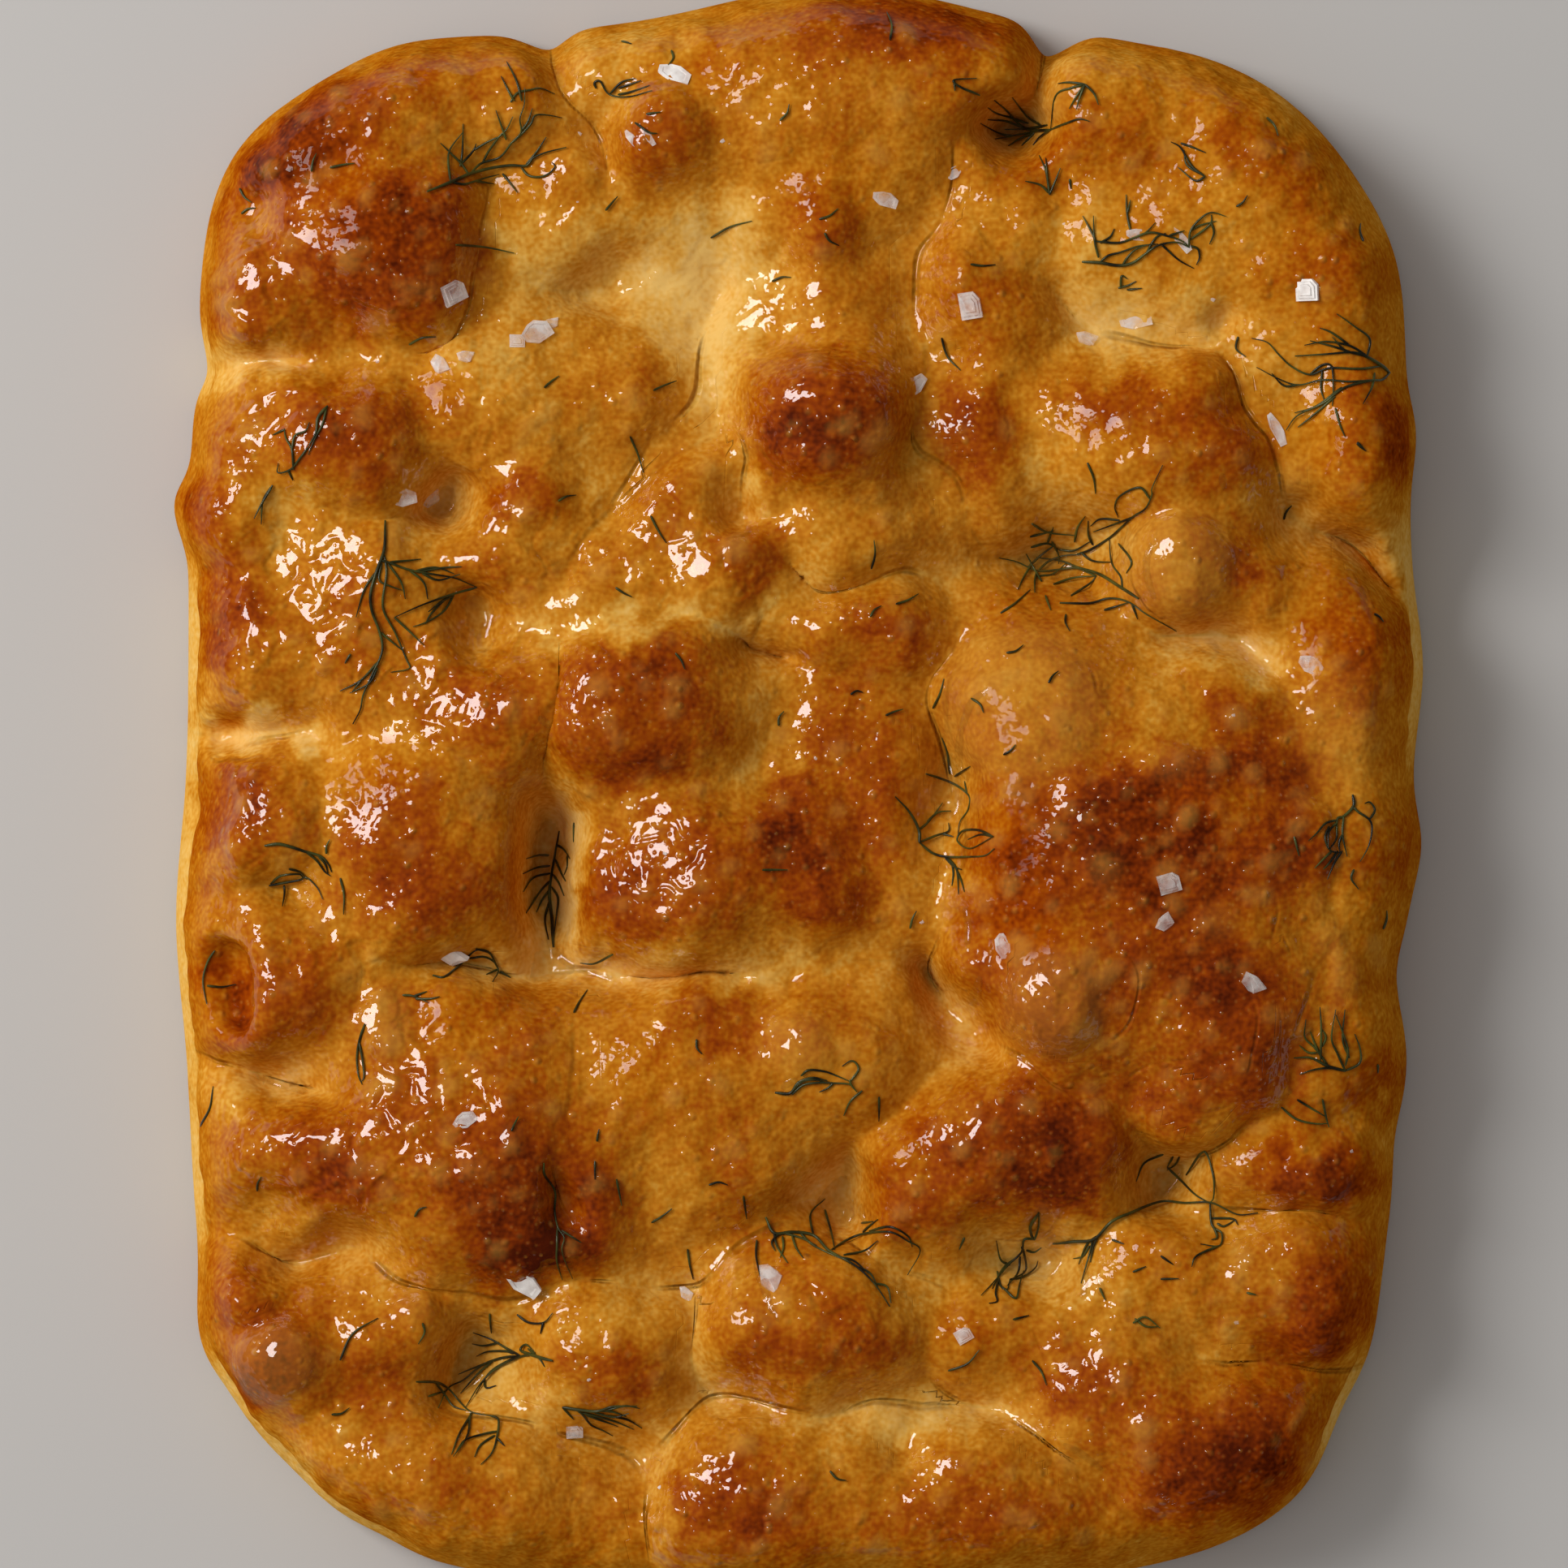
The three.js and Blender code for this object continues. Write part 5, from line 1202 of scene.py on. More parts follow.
    36.8, 32.7), (39.2, 31.7, 39.9, 29.3), (42.3, 28.6, 42.3, 27.2, 42.8, 25.9), (45.5, 52.5, 46.5, 50,
    46.9, 47.7), (40.4, 40.4, 41.4, 38.6, 41.6, 37), (41.6, 39.2, 44, 39, 46.4, 40.4), (38.2, 35.8,
    40, 37.3, 42.4, 38.2, 45, 38.4), (36.6, 36.4, 39, 38.4, 41, 40), (38.5, 35, 40.6, 35.4, 43, 37.2),
    (45, 38.8, 47, 37.4, 49.8, 37),
], 8: [
    (-39.6, -24.6, -40, -20.3, -40.3, -16.4, -40, -13, -39.3, -8.7, -38.8, -6), (-40.5, -9.9, -42.2, -9.9,
    -43.9, -10.4), (-40.3, -11.6, -42.4, -11.8, -44.4, -12.8), (-40.3, -12.8, -42.9, -13.5, -44.4, -15.7),
    (-40.3, -14, -42, -15.9, -43.9, -19.1), (-40.3, -15.4, -41.6, -17, -42.4, -19), (-39.3, -8.2, -38, -9,
    -36.9, -10.4), (-37.4, -9.9, -37.4, -11.6, -37.9, -13), (-39.8, -13, -38.8, -14.4, -37.9, -16.4),
    (-40, -15, -38.9, -16.6, -39.1, -19.3, -39.6, -23.2), (-40.3, -17, -41, -20, -40.4, -23.4),
    (-39.5, -10.5, -38.4, -12.6, -37.6, -14),
], 9: [
    (19, -7.7, 18.9, -5.8, 17.4, -2.9, 15.1, -0.4), (18.9, -5.8, 20.7, -4.2, 22.8, -1.4), (20.3, -4.4,
    22, -3.1, 24.1, -2.7), (19, -7.7, 21.6, -6.7, 23.7, -6, 23.7, -4.6), (22.6, -6.3, 24.4, -6.8),
    (19, -7.7, 21.2, -9.4, 23.3, -10, 26.6, -10, 29.1, -9.8, 30.6, -8.6), (23.3, -10, 24.9, -12.1,
    25.1, -15.9), (24.2, -11, 24.3, -12.6, 24.1, -14.6), (24.9, -12.1, 25.6, -13.8, 26, -15.5), (23, -10,
    24.4, -11.4, 25.6, -12), (30.4, -6.7, 28.3, -5.6, 25.8, -5.8, 25.1, -7.5, 27, -8.6, 30.4, -6.7),
    (30.4, -6.7, 28.6, -6.5, 26.6, -7.2), (20.1, 3.2, 22.8, 2.3, 24.9, 1.3, 27, -0.4, 26.6, -2.5,
    25.4, -4.6, 25.1, -7.1), (23.9, 3.2, 23.5, 6.3, 22.6, 9), (24.7, 2.8, 27, 4.4), (26.6, 0, 26.2, 2),
], 10: [
    (87.5, -0.1, 87.5, -1.9, 86, -3.5, 85, -4.1, 84.9, -7, 83.7, -8.6), (87.5, -1.9, 88.3, -2.8, 90.2, -4,
    90.5, -5.7, 89.9, -8.3, 88.6, -10.7), (90.2, -4, 91, -2.5, 90.2, -1.4, 89.4, -1.5), (86, -3.5,
    85.7, -6.4, 86.5, -9.9), (83.6, -5.1, 82.9, -7, 83.7, -9, 85.7, -9.3), (85, -4.1, 83.1, -4.5,
    81.5, -6.1, 80.2, -7.4), (85, -4.4, 83.6, -6, 83.4, -8.6), (85.7, -9, 84.5, -10.9, 83.3, -13.5),
    (85, -9, 83.4, -10.9, 82.6, -11.9), (84, -9, 82.5, -10.3, 81.2, -11.7), (85.7, -6.4, 85.2, -8,
    85.4, -9.4), (87.6, -11.9, 87.1, -13.5, 88.4, -15.1),
], 11: [
    (86.4, -43.9, 83.6, -43, 80.8, -41.8, 78.1, -41.8), (83.6, -43, 81.6, -40.3, 79.7, -38.4, 79.9, -35.6),
    (82.4, -41.5, 81.4, -39.4, 80.7, -37.6), (82.4, -42.2, 82.4, -36.8, 82.2, -33.7), (86.4, -43.9,
    85.1, -41.1, 84, -38.4, 84.7, -34.1), (86.4, -43, 86.7, -40.7, 85.9, -38, 84.7, -34.9), (87, -41.8,
    85.9, -38.7, 86.2, -34.1), (81.8, -41, 80.4, -41, 79, -39.8), (86.4, -43.9, 88.6, -42.6, 88.8, -40.3,
    87.8, -38), (86.4, -43.9, 83.9, -43.4, 81.2, -43.6, 79.1, -44.4), (82.6, -40, 83.2, -38.6, 82.4, -37),
], 12: [
    (-84.8, -8.2, -82.5, -8, -80.6, -8.3, -78.4, -9.1, -76.1, -9.8, -74.8, -11.1, -74.3, -12.4),
    (-78.4, -9.1, -76.7, -10.7, -75.5, -12.4, -74.5, -13), (-75.1, -9.5, -75, -8.4, -74.5, -7.2),
    (-76.4, -9.8, -75.4, -11, -74.9, -12.6), (-84.5, -14.6, -82.5, -14.3, -79.6, -13.6, -78.4, -13.3,
    -76.7, -14.9, -75.8, -16.7), (-84.2, -14.3, -82.5, -13, -79.6, -12.8, -79, -13.3), (-81.1, -11.9,
    -79.3, -12.5, -78.4, -13.6), (-82.1, -14.5, -82.1, -15.9, -82.2, -17.8),
], 13: [
    (-4, -47.3, -1.5, -47.3, -0.2, -45.7, 2, -45, 4.3, -45.4), (-1.3, -47.6, 0.5, -46, 2.7, -45.7,
    5.3, -45.7, 7.9, -45.9, 9, -47.2), (-1.4, -47.2, 0.2, -45.6, 2.4, -45.3, 4, -45.6), (0.1, -44.6,
    1.4, -43.8, 3.7, -43.8, 5.9, -44.6, 7.9, -45.5), (5.3, -45.7, 4.3, -46.7, 3, -47.2), (7.8, -45.2,
    8.2, -46.2, 9, -47.2), (7.9, -45.5, 9.2, -43.9, 8.8, -42.8, 7.9, -42.2, 6.6, -43.1),
], 14: [
    (-5.5, -67.4, -4.2, -69.8, -1.3, -69.8, 2.1, -70.3, 4.5, -72.5, 6.9, -73.7, 9.4, -75.1, 11.8, -77.6,
    14.2, -81.2), (11.8, -77.6, 13.7, -78.3, 14.4, -80.7), (9, -75, 11, -76, 12.4, -78.4), (-4.2, -69.8,
    -3.7, -72, -2, -74.4), (-1.3, -70.2, -0.6, -72, 0.4, -73.6), (-3.4, -70, -4.4, -71.2, -4, -72.6),
    (-2.8, -70.4, -2.8, -72, -3.2, -73.6), (5, -72.4, 8, -70.8, 10.8, -69.8, 14.2, -69.6, 17.1, -70.8,
    19, -72.5, 17.1, -76.6), (6.9, -73.2, 10.3, -72.5, 12.3, -71), (10, -69.9, 11, -68.8, 12.3, -67.6),
    (11, -69.6, 14.2, -68.6, 17.1, -70.1, 17.8, -72), (9.8, -68.6, 11.6, -68), (2.1, -70.3, 1.6, -67.2,
    4, -65), (4, -66.7, 5, -70.1, 5.5, -72.5), (-0.3, -69.6, 1.6, -71.4, 3.5, -72.5, 7, -73.9), (-3, -69.8,
    0, -70.6, 2.6, -71.8), (6.4, -73.5, 8.6, -74, 10.8, -76),
], 15: [
    (37.9, -66.5, 36.6, -69, 37.3, -71.1, 38.1, -68.6, 37.9, -66.5), (37.3, -71.1, 35.8, -71.1, 35.4, -73.2,
    33.5, -75.2, 31.5, -77.3, 28.8, -79.8), (35.4, -72.4, 35.8, -73.6, 36, -76.3, 33.8, -77.5),
    (34.4, -74.4, 32.4, -76, 30.6, -78.8), (31.5, -76.3, 31.9, -78.3, 33.1, -79, 33.5, -77.5), (32.3, -78.6,
    34.2, -80.2, 35, -78.3, 35.8, -76.3), (33.5, -77.5, 35.8, -77.1, 37.7, -75.9, 38.1, -74.8),
    (31.6, -77.6, 31.1, -79.4, 31.3, -80.6, 30, -81), (33.6, -75.4, 32, -74.4, 31.3, -71.3), (35.2, -74,
    34.8, -76.6, 33, -78.4), (36.2, -73, 37.4, -73.4, 38.6, -72.6),
], 16: [
    (40.4, -71.9, 43.8, -71.5, 46.7, -71, 49.6, -68, 53.1, -66.6, 57.8, -65.2, 61.3, -65.2, 65.3, -65.2,
    69.7, -66.9, 72.9, -66.7), (47.2, -70.4, 45.6, -71.9, 44.4, -75), (46.6, -71, 46.1, -73, 44.7, -77.9),
    (46.1, -72, 45, -73.6, 43.6, -74.2), (47.8, -69.8, 46.8, -72, 46.2, -74.6), (58.9, -59.9, 61, -62,
    63, -64, 65.3, -65.2), (61.8, -61, 64.2, -57, 65.6, -60.5, 65.9, -64, 65.3, -65.2), (65.3, -65.2,
    65.6, -68.6, 67.1, -69.8, 66.5, -71.8, 63.6, -71.5), (65.4, -67.6, 68.8, -67.7, 69.7, -68.6),
    (66.4, -68.4, 67.4, -68.8, 69.2, -67.9), (66.5, -71.8, 63, -73.3, 62.1, -75), (65.8, -68.8, 66.4, -70.4,
    65.4, -70.9), (59.6, -58, 58.9, -59.9), (58, -57.6, 55, -59, 53.7, -61.9), (60.6, -58, 60.2, -59.4,
    58.9, -60.4),
], 17: [
    (-39.3, -89.9, -42.7, -89.2, -44.6, -88.7, -43.7, -87.7, -42.2, -88.9), (-42.4, -89.2, -44.6, -89.7,
    -48, -91.6, -50.9, -94, -53.4, -97.9), (-44.6, -89.7, -47.1, -88.7, -49.5, -87.3, -52.4, -86.3),
    (-45.8, -89.4, -47.1, -89.2, -50, -89.4, -51.9, -90.2), (-45, -89.7, -47.6, -90.2, -50.9, -91.6,
    -53.8, -94, -56.3, -95, -57.7, -97.9), (-46.8, -90, -48.5, -90.4, -52.4, -92.1, -54.8, -93.1),
    (-44.8, -89.8, -46.1, -90.4, -49.5, -92.6, -51.9, -96), (-49, -90.6, -51.6, -92.9, -54.4, -96),
    (-48.2, -87.8, -50.6, -88.4, -52.6, -88.2), (-50.6, -93.6, -50.2, -95, -48.6, -94.6), (-43.4, -88.4,
    -41.6, -89.6, -40.6, -91), (-61.1, -93.5, -58.2, -93.8, -56.3, -95, -54.3, -97.4, -52.4, -98.6,
    -49.5, -99.1), (-59.2, -96, -56.7, -95.5), (-58.2, -93.8, -56.7, -96, -55.3, -97.9, -53.4, -98.4),
    (-49.5, -99.1, -48, -99.8, -48.3, -102.3, -49, -104.7, -50.7, -106.4), (-52.4, -98.8, -54.3, -101.8,
    -55.3, -104.7), (-52.6, -98.8, -53, -102, -55, -105), (-48.2, -101.4, -50.4, -101.8, -53.4, -102.7,
    -54.8, -104.7), (-48.6, -102, -50.9, -103.5, -51.7, -105.2), (-48.3, -102.3, -47, -103.6),
], 18: [
    (-37.8, -97.5, -35.9, -97.9, -32.3, -98, -29.7, -97.1, -25.9, -97.2), (-32.3, -98, -30.4, -97.7,
    -27.8, -97, -25.5, -97.6), (-37.8, -97.5, -36.8, -98.7, -36, -99.6), (-35.4, -98, -34.6, -98.7,
    -33.3, -100.6, -31.4, -101.7, -29.9, -102.5), (-34.6, -98.4, -32, -99, -29.1, -100, -26.5, -101.3),
    (-33, -98.2, -29.7, -99, -27.2, -98.4), (-30.6, -98.8, -27.5, -99.6, -25.2, -101.1), (-32.6, -98,
    -30, -98.2, -27.6, -99), (-34, -98.8, -31.6, -99.7, -29, -100.8),
]}
print("sprigs:", len(SPRIGS), " threads:", sum(len(threads) for threads in SPRIGS.values()))

# %% Small cuttings of dill, written in the same way
CUTTINGS = [
    (39.7, 95.4, 39.1, 98.8, 38.1, 101.9), (39.7, 95.4, 39.4, 98.4, 39.1, 101.3), (39.7, 95.4, 40.6, 97.5,
    41.4, 99.6), (39.7, 95.6, 38.1, 96.9, 35.8, 97.5), (42.9, 97.9, 43.1, 96.3), (51, 80.4, 51, 82.3,
    52, 81.9), (52, 80.2, 54.3, 80.4), (64.2, 97.9, 62.2, 99.5, 60.4, 102.6, 58.8, 103.5), (64.2, 97.9,
    62.7, 97.4, 60, 99.5), (63.8, 98.2, 61.3, 99.9, 60.9, 102.2), (60.4, 103.3, 62.2, 102.6, 64.3, 101.7),
    (69.7, 72.8, 69.4, 70.8, 70.9, 69.6), (88.3, 55.8, 89.5, 54.6), (-83.7, 49, -85.2, 46.6, -85.6, 42.8),
    (-83.9, 48.6, -85.4, 46, -86.7, 43.7), (-71.3, 22.2, -72.2, 20.7), (-36.2, -4.6, -36.3, -7.7),
    (-29.9, -25.6, -32.8, -27.1, -35.2, -27.1), (77.9, -6.7, 78.7, -9.8), (82.8, -48.4, 83.4, -51.1,
    83.9, -52.9), (78.7, -48.4, 81, -49.8, 83.2, -51.1), (76.2, -49.6, 78.5, -51.5, 81.6, -52.3,
    83.7, -52.3), (91.8, -43, 91.9, -44.4), (-72.9, -13.3, -72.4, -15.9, -72.4, -19.1), (9.8, -47,
    7.9, -48.8, 6.9, -51), (12.5, -48, 12.6, -50, 12.5, -52), (-6.9, -71, -7.1, -73.4, -6.4, -76.4),
    (-9, -63.8, -8.5, -67.6), (26.1, -70.5, 25.3, -72.5), (33.8, -83.5, 36.4, -82.9), (49.6, -70.9,
    51.4, -71.5), (57.2, -73.3, 59.2, -74.7), (52.8, -75.9, 54.9, -75), (57.2, -77, 60.1, -76.9),
    (70.8, -79.1, 72.3, -79.4), (52.8, -84, 54.9, -83.1, 57.2, -84.9), (47.6, -78.5, 48.5, -80.5),
    (-45.1, -82.9, -43.2, -84.1, -40.8, -83.9, -39.3, -82.4), (-40.8, -83.9, -41.3, -85.8), (-49.5, -82.9,
    -49.4, -86.3), (-59.9, -83.9, -59.6, -85.3, -60.6, -87.3), (-40.5, -58.3, -40.3, -60.3, -38.9, -63,
    -38.9, -66.1, -38.5, -68.8, -37.4, -70.3, -37.8, -72.6, -36.2, -77.1), (-38.5, -68.8, -38.4, -71.5,
    -38.5, -74.2, -37.8, -77.3), (-37.8, -69.2, -34.7, -71.1), (-32.5, -58.1, -32.5, -61), (-29.1, -61,
    -28.3, -65.3), (-58.4, -28.8, -56.7, -29, -55.2, -28, -54, -26.8, -52.8, -25.7, -51.7, -24.9,
    -50.1, -24.9), (-52.8, -26.3, -50.5, -25.9, -49, -26.8, -48, -28.8), (-51.7, -24.7, -49.7, -25.3,
    -48.6, -27.2, -48.2, -28.4, -49, -29.9), (-48.2, -28, -50.1, -28.8), (-48, -28.4, -46.3, -29.4),
    (-63.1, -31.9, -61.4, -32.1, -59, -33), (-61.4, -32.1, -59.2, -31.3), (-61, -32.5, -58.6, -32.5,
    -57.1, -32.1), (-42.4, -16.4, -43.9, -19.1), (-93.4, -25, -94.7, -26.9, -95.3, -30, -94.7, -33.5),
    (-94.7, -30.6, -92.4, -30.7, -90.1, -30.4), (-32.5, 112.3, -32.7, 113.2, -31.8, 113.4, -30.3, 111.4,
    -27.1, 110.9, -23.5, 111.6), (-30.3, 111.4, -28.5, 113.2, -26.2, 113.8), (-28.9, 112.3, -25.3, 113.4),
    (-29, 111.3, -27.1, 111.6, -23.9, 112.5), (-20.5, 118.4, -20.1, 117.2, -21, 115.9), (-26.2, 106.4,
    -23.9, 104.8, -22.6, 104.6), (-24.4, 107.7, -22.1, 108), (-28.5, 120.2, -26.9, 119.6), (-69, -36.4,
    -69.9, -39.1, -70.3, -41.8, -70.1, -44.5, -69.4, -46), (-69.9, -39.5, -69.5, -41.8, -69.2, -44.5,
    -69.5, -45.6),
]
# single threads: x, y, heading in degrees, length
SNIPPETS = [
    (-11, 90, 20, 7), (-50, 86.5, -5, 9), (-60, 72, 15, 4.5), (24, 70, -60, 6), (-26, 54, -70, 6),
    (-21.5, 65, 25, 4), (-22.5, 42, -60, 5), (11.5, 38, 85, 4.5), (-95, -50, 70, 7), (-70, -86.5, 48, 9),
    (26, -90, 35, 6), (38, -92, -60, 4.5), (55, -84, -20, 4), (-17.5, -75, -80, 5), (-72.5, 99.5, 10, 4),
    (-88.5, 95.5, -50, 3), (-2.5, 108, 60, 3), (14, 122, 95, 5), (4.5, 92, 30, 3.5), (5, 88, -40, 3),
    (-3, 82, 10, 3), (-39.5, 65.5, 40, 3), (75, 106, -60, 3.5), (70, 94, 45, 2.5), (89.5, 89.5, 95, 3),
    (52, 81, 20, 3), (89, 55, -40, 2), (78, 45, 60, 2.5), (-37, 47, 20, 3), (-28, 32, -30, 3),
    (17, 31, 25, 4), (12, 29, 45, 2.5), (9, 16, 10, 2), (-3, 12, 70, 2.5), (15, 13, 20, 3),
    (-19, 21, -60, 3), (-4, -12, 0, 4), (-16, -40, -70, 2.5), (-32, -54, 80, 2), (-13, -62, 0, 3),
    (-22, -67, 35, 4), (93, -20, 80, 3), (-35, -33, 60, 4), (22, 16, 70, 5), (28, 14, -50, 3),
    (40, 18.5, 50, 2.5), (34, 23, 25, 3), (-88, 93, 20, 2.5), (-30, 94, 50, 3), (29, 84, 0, 4),
    (-77, 100, 75, 3), (92, 28, -40, 2), (18, -20, 70, 3), (-73, -98, 20, 3), (6, -108, -30, 3),
    (-45, -52, 65, 2.5), (-60, -66, 40, 2.5), (-86, -62, 70, 2.5), (33, 7, 40, 2.5),
]
print("cuttings:", len(CUTTINGS), " snippets:", len(SNIPPETS))

# %% From threads to a mesh
THREAD_RADIUS = 0.205
STALK_RADIUS = 0.27  # the first thread of a sprig carries the others
TIP = 0.35  # a tip's share of the thickness
THREAD_STIFFNESS = 10
STRAY = 0.12  # how far each place of a thread is moved at random, in millimetres
LOOSE = 0.25  # a thread lies up to this much above the crust
ROOT, ROOT_GROWTH = 0.6, 4  # a thread starts this thin and soon has its full thickness
SNIPPET_BEND = 0.16  # how far the middle of a snippet lies off its line, against its length


def thread_points(points, dice):
    """A thread's path with a little wander, so that no two run alike."""
    path = np.reshape(np.array(points, float), (-1, 2))
    path[1:-1] += dice.uniform(-STRAY, STRAY, path[1:-1].shape)
    return path


def tubes(name, thickness, roundness, lines):
    """Round threads as one mesh. A line is its points and, for each, a share of the thickness."""
    start_afresh()
    curve = bpy.data.curves.new(name, "CURVE")
    curve.dimensions = "3D"
    curve.bevel_depth = thickness * MM
    curve.bevel_resolution = roundness
    curve.use_fill_caps = True
    for places, shares in lines:
        spline = curve.splines.new("POLY")
        spline.points.add(len(places) - 1)
        for point, place, share in zip(spline.points, places, shares):
            point.co = (*place, 1)
            point.radius = share
    piece = bpy.data.objects.new(name, curve)
    bpy.context.scene.collection.objects.link(piece)
    piece.select_set(True)
    bpy.context.view_layer.objects.active = piece
    bpy.ops.object.convert(target="MESH")
    return bpy.context.object


def threads_to_mesh(name, threads, radii, seed):
    dice = np.random.default_rng(seed)
    lines = []
    for points, radius in zip(threads, radii):
        path = thread_points(points, dice)
        laid = lay(path, 0.9 * radius + dice.uniform(0, LOOSE), THREAD_STIFFNESS)
        along = np.linspace(0, 1, len(laid))
        thinning = (1 - (1 - TIP) * along**2) * np.minimum(1, ROOT + ROOT_GROWTH * along)
        lines.append((laid, radius * thinning))
    piece = tubes(name, 1, 1, lines)
    bpy.ops.object.shade_smooth()
    return piece


def snippet(x, y, heading, length, dice):
    """Three places along a short, slightly bent thread."""
    turn = math.radians(heading)
    along, side = np.array((math.cos(turn), math.sin(turn))), np.array((-math.sin(turn), math.cos(turn)))
    middle = np.array((x, y)) + side * length * dice.uniform(-SNIPPET_BEND, SNIPPET_BEND)
    return [(x, y) - along * length / 2, middle, (x, y) + along * length / 2]


# %% [markdown]
# Wet dill is nearly black where it lies in shade and olive green where light goes through it. The
# colour varies along each thread, and a thin coat of oil gives it a narrow shine.

# %% Dill material
DILL_TONES = [(0.36, (0.010, 0.009, 0.003)), (0.70, (0.085, 0.092, 0.014))]

dill, tree, shader = new_material("wet_dill")
set_values(tree, shader, {
    "Base Color": ramp(tree, noise(tree, 220), DILL_TONES), "Roughness": 0.5,
    "Normal": bump(tree, noise(tree, 1800, 1.0), 0.05), "Specular IOR Level": 0.3,
    "Coat Weight": 0.25, "Coat Roughness": 0.12,
})
print("nodes in the dill's material:", len(tree.nodes))

# %% Sprigs in place of their solids
for number, threads in SPRIGS.items():
    radii = [STALK_RADIUS] + [THREAD_RADIUS] * (len(threads) - 1)
    sprig = threads_to_mesh(f"dill_leaf_{number:02d}", threads, radii, 100 + number)
    sprig.data.materials.append(dill)
    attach(sprig, "root")
    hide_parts(f"dill_sprig_{number:02d}")
    print(sprig.name, "faces:", len(sprig.data.polygons))

# %% Cuttings and snippets as one piece
dice = np.random.default_rng(140)
loose_threads = CUTTINGS + [snippet(*row, dice) for row in SNIPPETS]
cuttings = threads_to_mesh("dill_cuttings", loose_threads, [THREAD_RADIUS] * len(loose_threads), 141)
cuttings.data.materials.append(dill)
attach(cuttings, "root")
print(cuttings.name, "faces:", len(cuttings.data.polygons))

# %% [markdown]
# ## Salt
#
# Flaky salt grows on brine as hollow square pyramids, and breaks into steps, plates and chips. A
# crystal starts from a cube pressed flat. Its top is inset and raised or lowered step by step, the
# corners of the plates are cut away with slanted planes, and small random moves take the machine
# look off. Three such crystals are enough: each flake on the crust is a copy with its own size,
# turn and tilt, and they are joined into one piece.

# %% How a crystal is cut
def edit_top(insets, raises):
    """Steps on the top face of the active crystal: inset, then raised or lowered."""
    bpy.ops.mesh.select_mode(type="FACE")
    bpy.ops.mesh.select_all(action="DESELECT")
    bpy.ops.object.mode_set(mode="OBJECT")
    mesh = bpy.context.object.data
    top = max(mesh.polygons, key=lambda face: face.normal.z * 10 + face.center.z)
    top.select = True
    bpy.ops.object.mode_set(mode="EDIT")
    for inset, up in zip(insets, raises):
        bpy.ops.mesh.inset(thickness=inset)
        bpy.ops.transform.translate(value=(0, 0, up))


def crystal(name, size, insets, raises, cuts, rough):
    start_afresh()
    bpy.ops.mesh.primitive_cube_add(size=1, scale=size)
    piece = bpy.context.object
    piece.name = name
    bpy.ops.object.transform_apply(scale=True)
    bpy.ops.object.mode_set(mode="EDIT")
    for place, facing in cuts:
        bpy.ops.mesh.select_all(action="SELECT")
        bpy.ops.mesh.bisect(plane_co=place, plane_no=facing, clear_outer=True, use_fill=True)
    edit_top(insets, raises)
    bpy.ops.mesh.select_all(action="SELECT")
    bpy.ops.mesh.normals_make_consistent(inside=False)
    bpy.ops.transform.vertex_random(offset=rough, seed=len(name))
    bpy.ops.object.mode_set(mode="OBJECT")
    print(name, "faces:", len(piece.data.polygons))
    return piece


# %% Three crystals
CRYSTALS = [
    crystal("salt_pyramid", (1, 1, 0.22), (0.10, 0.02, 0.12, 0.02), (0, 0.10, 0, 0.10),
            [((0.36, 0.38, 0), (1, 0.8, 0.1))], 0.02),
    crystal("salt_plate", (1, 1, 0.16), (0.12, 0.03), (0, -0.05),
            [((0.3, 0.34, 0), (1, 1.4, 0.2)), ((-0.34, -0.30, 0), (-1.5, -1, 0.2)),
             ((-0.36, 0.36, 0), (-0.6, 1, -0.1))], 0.03),
    crystal("salt_chip", (1, 1, 0.26), (0.16,), (0.08,),
            [((0.2, 0.3, 0), (0.8, 1, 0.3)), ((0.34, -0.2, 0), (1.2, -0.7, 0.3)),
             ((-0.3, -0.3, 0), (-0.8, -1.2, 0.3))], 0.045),
]

# %% Flakes: x, y, length, width, turn in degrees, which crystal
FLAKES = [
    (-20, 114.5, 5.2, 2.8, -18, 1), (80.5, 80, 3.6, 3.4, 3, 0), (27, 77.5, 3.3, 4.2, 10, 0),
    (18.5, 65, 4, 2.2, 50, 1), (53.5, 75.5, 5, 2.5, 15, 1), (-55, 79.5, 4, 3.4, 20, 0),
    (-42, 73.5, 4.5, 3.5, 35, 1), (-57, 68, 3.5, 2.5, -30, 2), (-63, 47, 4, 2.6, 10, 1),
    (-59, 47.5, 3.4, 2.6, 60, 2), (81, 20.5, 4, 2.6, -20, 1), (58, -14, 3.4, 3, 15, 0),
    (57.5, -20, 3, 2.4, 70, 2), (32, -24, 2.4, 4, 5, 1), (71.5, -30, 4, 2.6, -25, 2),
    (-55.4, -25.8, 5, 3.2, -24, 2), (-53, -51.5, 3.6, 2.4, 40, 1), (-44, -77.6, 6, 3.2, -36, 1),
    (-4.5, -77, 3.4, 5, 8, 2), (-36, -101.5, 2.6, 2.6, 0, 0), (13.5, 94.5, 4, 2.2, -15, 1),
    (46, 72.5, 3.4, 2.6, 15, 2), (60.5, 88, 4.4, 1.7, -48, 1), (75.8, 58, 5.4, 1.7, -60, 1),
    (-53, 69.5, 2.6, 2, 20, 2), (-45, 72, 2.4, 2, 0, 0), (-39.5, 75, 2.6, 1.8, 40, 2),
    (-18, -80, 2, 3, 10, 2), (26, -86, 2.6, 2.2, 30, 0), (24.5, 99, 2.6, 1.8, 60, 1),
    (53.6, 88.8, 3.6, 1.8, -5, 1), (-26.5, 103.6, 1.2, 4, 38, 1), (-24, 104, 1, 3, 30, 1),
]
WHITE = (0, 1, 15, 17)  # the rows that are cloudy with cracks; the others are clearer
GRAINS = 18
